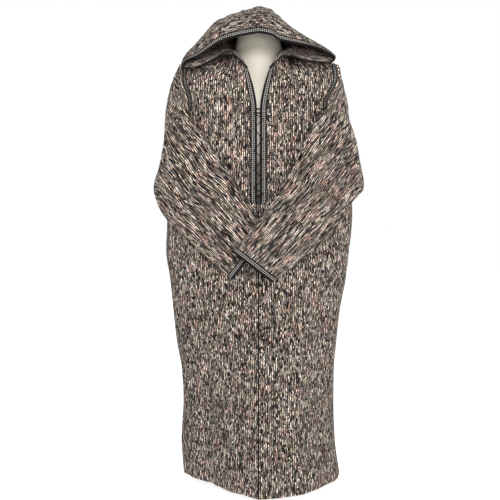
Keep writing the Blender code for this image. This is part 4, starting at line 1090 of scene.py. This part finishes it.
def add_picots(name, edge, normals, toward, surface):
    """A row of small thread points along a braid's inner edge."""
    line = even_line(edge, PICOT_STEP)
    facing = unit(np.stack([np.interp(np.linspace(0, 1, len(line)), np.linspace(0, 1, len(edge)),
                                      normals[:, i]) for i in range(3)], -1))
    reach = np.where(np.arange(len(line)) % 2 == 0, *PICOT_REACH)[:, None]
    base = line + facing * (SEAM_GAP + PICOT_LIFT)
    inner = np.stack((base, base + np.array(toward) * reach), axis=1)
    outer = inner + facing[:, None] * PICOT_THICK
    uv = np.zeros((*outer.shape[:2], 2))
    return shell(name, outer, inner, uv, False, surface, sharp=30.0)


def add_thread(name, splines, radius, surface):
    """Round thread along smooth lines of points."""
    curve = bpy.data.curves.new(name, "CURVE")
    curve.dimensions = "3D"
    curve.bevel_depth = radius
    curve.bevel_resolution = 3
    curve.use_fill_caps = True
    for points in splines:
        spline = curve.splines.new("POLY")
        spline.points.add(len(points) - 1)
        for spot, point in zip(spline.points, points):
            spot.co = (*point, 1.0)
    curve.materials.append(surface)
    return riding(in_scene(name, curve))


def add_edge_cord(name, pairs, inward, surface):
    """A cord over a cloth's raw edge: pairs holds points on the edge and points beside them."""
    off = unit(pairs[:, 0] - pairs[:, 1])
    line = pairs[:, 0] + 0.5 * inward + off * EDGE_CORD_OFFSET
    return add_thread(name, [line], 0.5 * EDGE_CORD_DIAMETER, surface)


def smooth_line(points, steps):
    """A rounded curve through points."""
    points = np.asarray(points, float)
    before = np.vstack((points[:1], points[:-1]))
    after = np.vstack((points[1:], points[-1:]))
    slopes = 0.5 * (after - before)
    result = []
    for i in range(len(points) - 1):
        t = np.linspace(0.0, 1.0, steps, endpoint=False)[:, None]
        result.append((1 + 2 * t) * (1 - t) ** 2 * points[i] + t * (1 - t) ** 2 * slopes[i]
                      + t * t * (3 - 2 * t) * points[i + 1] + t * t * (t - 1) * slopes[i + 1])
    return np.concatenate(result + [points[-1:]])


def ring_points(height, half, front, back, power):
    """A closed level ring of the bust."""
    turn = 2.0 * math.pi * np.arange(BUST_SIDES) / BUST_SIDES
    x = half * np.sign(np.sin(turn)) * np.abs(np.sin(turn)) ** (2.0 / power)
    depth = np.where(np.cos(turn) > 0, front, back)
    y = -depth * np.sign(np.cos(turn)) * np.abs(np.cos(turn)) ** (2.0 / power)
    return np.stack((x, y, np.full(BUST_SIDES, height)), -1)


def add_bust(seam, surface):
    """Bust and neck in one smooth piece; its shoulder line lies just under the shoulder seam."""
    rows = list(BUST_ROWS)
    for half, front, back, power, drop in SHOULDER_ROWS:
        rows.append((float(np.interp(half, seam[:, 0], seam[:, 2])) - drop, half, front, back,
                     power))
    rows = np.array(rows + list(NECK_ROWS))
    at = np.linspace(0, len(rows) - 1, (len(rows) - 1) * BUST_STEPS + 1)
    grid = np.array([ring_points(*row) for row in through(np.arange(len(rows)), rows, at)])
    heights = grid[:, 0, 2]
    throat = np.array(THROAT_ROWS)
    within = (heights > throat[0, 0]) & (heights < throat[-1, 0])
    half, depth = through(throat[:, 0], throat[:, 1:], heights[within]).T
    own = -grid[within][..., 1]
    share = np.sqrt(np.clip(1.0 - (grid[within][..., 0] / half[:, None]) ** 2, 0.0, 1.0))
    runs_out = depth[:, None] * share
    joined = 0.5 * (own + runs_out + np.hypot(own - runs_out, THROAT_BLEND * share))
    grid[within, :, 1] = np.where(own > 0.0, -joined, -own)
    bm = bmesh.new()
    made = bmesh.ops.create_grid(bm, x_segments=BUST_SIDES, y_segments=len(grid) - 1, size=0.5)
    for vert in made["verts"]:
        r = round((vert.co.y + 0.5) * (len(grid) - 1))
        c = round((vert.co.x + 0.5) * BUST_SIDES)
        vert.co = grid[r, c % BUST_SIDES]
    bmesh.ops.remove_doubles(bm, verts=bm.verts, dist=1e-6)
    bmesh.ops.holes_fill(bm, edges=bm.edges, sides=0)
    bmesh.ops.recalc_face_normals(bm, faces=bm.faces)
    return finish_piece("dress_form_bust", bm, surface, 40.0)


def make_lamp(name, place, aim, size, power, colour):
    """A square soft lamp."""
    data = bpy.data.lights.new(name, "AREA")
    data.shape = "RECTANGLE"
    data.size = data.size_y = size
    data.energy = power
    data.color = srgb(colour)[:3]
    lamp = in_scene(name, data)
    lamp.location = place
    lamp.rotation_euler = (Vector(aim) - Vector(place)).to_track_quat("-Z", "Y").to_euler()


# Materials
wool = boucle_wool("boucle_wool", waver=0.0055, valleys=31.0, slubs=112.0)
sleeve_wool = boucle_wool("boucle_wool_pulled_straight", waver=0.0022, valleys=8.5, slubs=58.0)
check_braid = woven_braid("checked_braid", light="bab8b3", dark="121113")
cord = black_cord()
plastic = cream_form()
steel = satin_steel()

# Cloth grids
SIDES = (-1, 1)
levels = body_levels()
v_foot, underarm = SKIRT_STEPS, SKIRT_STEPS + V_STEPS
neck_column = len(FRONT_DISTANCES) - 1 + FRONT_NECK_STEPS
fronts, half_backs, sleeves, hoods = {}, {}, {}, {}
for side in SIDES:
    keys, rows = panel_rows(side, False)
    fronts[side] = Cloth("front_" + side_name(side), through(keys, rows, levels), False, side)
    keys, rows = panel_rows(side, True)
    half_backs[side] = through(keys, rows, levels)
back = Cloth("back", np.concatenate((half_backs[-1][:, :0:-1], half_backs[1]), axis=1), False, -1)
for side, sleeve_table, hood_table in ((-1, RIGHT_SLEEVE, RIGHT_HOOD), (1, LEFT_SLEEVE, LEFT_HOOD)):
    front_edge = fronts[side].points[underarm:, -1][::-1]
    back_edge = back.points[underarm:, -1 if side > 0 else 0]
    armhole = np.concatenate((front_edge, back_edge[1:-1]))
    sleeves[side] = Cloth("sleeve_" + side_name(side), sleeve_grid(side, sleeve_table, armhole),
                          True, side)
    front_neck = fronts[side].points[-1, :neck_column + 1]
    half_back_neck = half_backs[side][-1, :BACK_NECK_STEPS][::-1]
    neckline = split_line(np.concatenate((front_neck, half_back_neck)), HOOD_SPLITS)
    hoods[side] = Cloth("hood_" + side_name(side), hood_grid(hood_table, neckline), False, side)
cloths = [fronts[-1], fronts[1], back, sleeves[-1], sleeves[1], hoods[-1], hoods[1]]
share_mitres(cloths)
everything = slice(None)
for side in SIDES:
    part_seam(fronts[side], ("first_column", slice(0, v_foot + 1)))
    for cloth, edge, share in ((fronts[side], "last_column", 0.5), (fronts[side], "last_row", 0.5),
                               (sleeves[side], "first_row", 0.5),
                               (hoods[side], "last_column", HOOD_SHARE),
                               (hoods[side], "last_row", 0.5)):
        part_seam(cloth, (edge, everything), share)
for edge in ("first_column", "last_column", "last_row"):
    part_seam(back, (edge, everything))

# Each cloth's face before it is creased, on which the braids are sewn and the cut is measured
flat_outer = {cloth.name: cloth.outer() for cloth in cloths}

# Relief: for each cloth its creases, and its edges with how far in they stay flat and if sewn
front_edges = (("first_column", BRAID_WIDTH, False), ("last_column", ARM_BRAID_WIDTH, True),
               ("last_row", SEAM_FLAT, True))
back_edges = (("first_column", ARM_BRAID_WIDTH, True), ("last_column", ARM_BRAID_WIDTH, True),
              ("last_row", SEAM_FLAT, True))
sleeve_edges = (("first_row", SEAM_FLAT, True), ("last_row", BRAID_WIDTH, False))
hood_edges = (("first_column", BRAID_WIDTH, False), ("last_column", SEAM_FLAT, True),
              ("first_row", FOOT_FLAT, False), ("last_row", CROWN_FLAT, True))
pieces = {}
for cloth, creases, edges, seed, fan in (
        (fronts[-1], FRONT_RIGHT_CREASES, front_edges, 3.0, None),
        (fronts[1], FRONT_LEFT_CREASES, front_edges, 11.0, None),
        (back, BACK_CREASES, back_edges, 19.0, None),
        (sleeves[-1], SLEEVE_RIGHT_CREASES, sleeve_edges, 27.0, SLEEVE_FANS[-1]),
        (sleeves[1], SLEEVE_LEFT_CREASES, sleeve_edges, 35.0, SLEEVE_FANS[1]),
        (hoods[-1], HOOD_RIGHT_CREASES, hood_edges, 43.0, None),
        (hoods[1], HOOD_LEFT_CREASES, hood_edges, 51.0, None)):
    start = cloth.points.shape[1] // 2 if cloth is back else 0
    grain = grain_of(cloth, start, fan)
    add_relief(cloth, grain, creases, edges, seed)
    pieces[cloth.name] = shell(cloth.name + "_cloth", cloth.outer(), cloth.inner(), grain,
                               cloth.closed, sleeve_wool if cloth.closed else wool)
    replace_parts(pieces[cloth.name], cloth.name)

# What is sewn on each cloth
trims = {cloth.name: [] for cloth in cloths}


def sew(cloth, piece, stands_for=None):
    """Keep a trim with its cloth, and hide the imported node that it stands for."""
    if stands_for:
        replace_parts(piece, stands_for)
    trims[cloth.name].append(piece)


def sew_braid(cloth, name, points, normals, joined=False):
    """Sew a braid on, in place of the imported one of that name."""
    sew(cloth, add_braid(name + "_woven", points, normals, joined, check_braid), name)


def sew_cord(cloth, name, pairs, inward):
    """Sew a cord over a raw edge."""
    sew(cloth, add_edge_cord(name, pairs, inward, cord))


braid_foot = v_foot + BRAID_RISE
arm_row = int(np.searchsorted(levels, ARM_BRAID_LEVEL))
for side in SIDES:
    front, sleeve, hood = fronts[side], sleeves[side], hoods[side]
    word = side_name(side)
    points, normals = strip(flat_outer[front.name][braid_foot:], front.normals[braid_foot:],
                            FRONT_DISTANCES, CORD_PLACES)
    sew_braid(front, "neck_braid_" + word, points, normals)
    sew(front, add_picots("neck_picots_" + word, points[PICOT_RISE:, 0], normals[PICOT_RISE:, 0],
                          (-side, 0.0, 0.0), cord))
    sew_cord(front, "neck_edge_cord_" + word, points[:, :2], front.inward[braid_foot:, 0])

    shown = flat_outer[hood.name]
    sew_cord(hood, "rim_edge_cord_" + word, shown[:, :2], hood.inward[:, 0])
    under = slice(0, HOOD_BRAID_STEPS + 1)
    places = np.arange(HOOD_BRAID_STEPS + 1) / HOOD_BRAID_STEPS * BRAID_WIDTH
    sew_braid(hood, "rim_braid_" + word,
              *strip(shown[:, under], hood.normals[:, under], places, CORD_PLACES))

    shown = flat_outer[sleeve.name]
    round_cuff = np.append(np.arange(shown.shape[1]), 0)
    sew_cord(sleeve, "cuff_edge_cord_" + word, np.swapaxes(shown[:-3:-1, round_cuff], 0, 1),
             sleeve.inward[-1, round_cuff])
    back_up = unit(shown[-4] - shown[-1])
    sew_braid(sleeve, "cuff_braid_" + word,
              shown[-1][:, None] + back_up[:, None] * CORD_PLACES[None, :, None],
              np.repeat(sleeve.normals[-1][:, None], len(CORD_PLACES), axis=1), True)

    ends = (-2, -1) if side > 0 else (1, 0)
    up = (flat_outer[front.name][arm_row:, -2:], front.normals[arm_row:, -2:])
    down = (flat_outer["back"][arm_row:, ends][::-1], back.normals[arm_row:, ends][::-1])
    points = np.concatenate((up[0][:-1], 0.5 * (up[0][-1:] + down[0][:1]), down[0][1:]))
    normals = np.concatenate((up[1][:-1], unit(up[1][-1:] + down[1][:1]), down[1][1:]))
    points, normals = strip(points, normals, (0.0, ARM_BRAID_WIDTH), ARM_CORD_PLACES)
    sew_braid(front, "armhole_braid_" + word, points, normals)
    lifted = points + normals * (SEAM_GAP + BRAID_THICK + ARM_CORD_LIFT)
    sew(front, add_thread("armhole_cords_" + word, [lifted[:, 1], lifted[:, -2]],
                          0.5 * ARM_CORD_DIAMETER, cord))

# Centre seam braid
right, left = flat_outer["front_right"][:v_foot], flat_outer["front_left"][:v_foot]
points = np.stack((right[:, 1], 0.5 * (right[:, 0] + right[:, 1]), 0.5 * (right[:, 0] + left[:, 0]),
                   0.5 * (left[:, 0] + left[:, 1]), left[:, 1]), axis=1)
normals = unit(fronts[-1].normals[:v_foot, 0] + fronts[1].normals[:v_foot, 0])[:, None]
centre = shell("centre_seam_braid",
               points + normals * (SEAM_GAP + CENTRE_BRAID_RISE)[None, :, None],
               points + normals * SEAM_GAP, np.zeros((*points.shape[:2], 2)), False, cord,
               sharp=40.0)
sew(fronts[1], centre, "centre_braid")

# Lace
lace_rise = SEAM_GAP + BRAID_THICK + LACE_LIFT + 0.5 * LACE_DIAMETER
seats = {side: flat_outer[fronts[side].name][:, 1] + fronts[side].normals[:, 1] * lace_rise
         for side in SIDES}


def seat(side, height):
    """The place on a braid's inner edge at a height."""
    line = seats[side]
    return np.array([np.interp(height, line[:, 2], line[:, i]) for i in range(3)])


def midway(height, x):
    """A place between the braids, a little in front of them."""
    return 0.5 * (seat(-1, height) + seat(1, height)) + (x, -LACE_LIFT, 0.0)


turns = [seat(side, height + leg) + (side * TURN_REACH, 0.0, 0.0)
         for side, height in LACE_TURNS for leg in (TURN_HALF, -TURN_HALF)]
knot_middle = midway(KNOT_LEVEL, 0.0)
knot = [knot_middle + np.array(KNOT_HALVES) * (math.cos(a), -math.sin(2 * a), math.sin(a))
        for a in np.linspace(0.0, 2.0 * math.pi, KNOT_POINTS)]
path = smooth_line(turns + [knot_middle, midway(END_LEVEL, END_X)], LACE_STEPS)
sew(fronts[-1], add_thread("lace_thread", [path, smooth_line(knot, KNOT_STEPS)], 0.5 * LACE_DIAMETER,
                           cord), "lacing")
bars = [[seat(-1, height) + (seat(1, height) - seat(-1, height)) * t
         for t in np.linspace(0.0, 1.0, BAR_POINTS)] for height in LACE_BARS]
sew(fronts[-1], add_thread("lace_bars", bars, 0.5 * BAR_DIAMETER, cord))

# Dress form and stand
top_row = fronts[1].points[-1, neck_column:] + fronts[1].inward[-1, neck_column:]
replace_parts(add_bust(top_row, plastic), "form_bust")
for name in ("form_pole", "form_collar", "form_base"):
    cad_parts[name].material_slots[0].material = steel

# Cut of what shows of each cloth: its greatest width, its greatest length and its area
for cloth in cloths:
    width, length, area = flat_cut(flat_outer[cloth.name], cloth.closed)

# Floor, light and camera
bm = bmesh.new()
bmesh.ops.create_grid(bm, x_segments=1, y_segments=1, size=FLOOR_SIZE)
in_scene("studio_floor", mesh_of("studio_floor", bm, pale_floor()))

# The studio's walls are white to the eye, and give a softer, weaker light than they show
world = bpy.data.worlds.new("studio")
world.use_nodes = True
seen = add_node(world.node_tree, "LightPath").outputs["Is Camera Ray"]
strength = add_node(world.node_tree, "MapRange", {0: seen, 3: WALL_LIGHT, 4: 1.0})
background = world.node_tree.nodes["Background"]
background.inputs["Color"].default_value = srgb("ffffff")
world.node_tree.links.new(strength.outputs[0], background.inputs["Strength"])
bpy.context.scene.world = world
bpy.context.scene.view_settings.view_transform = "Standard"
for lamp in LAMPS:
    make_lamp(*lamp)

camera_data = bpy.data.cameras.new("camera")
camera_data.lens = CAMERA_LENS
camera_data.sensor_width = 36.0
camera_data.shift_x = CAMERA_SHIFT
camera = in_scene("camera", camera_data)
camera.location = CAMERA_PLACE
camera.rotation_euler = (math.radians(90.0), 0.0, 0.0)
bpy.context.scene.camera = camera
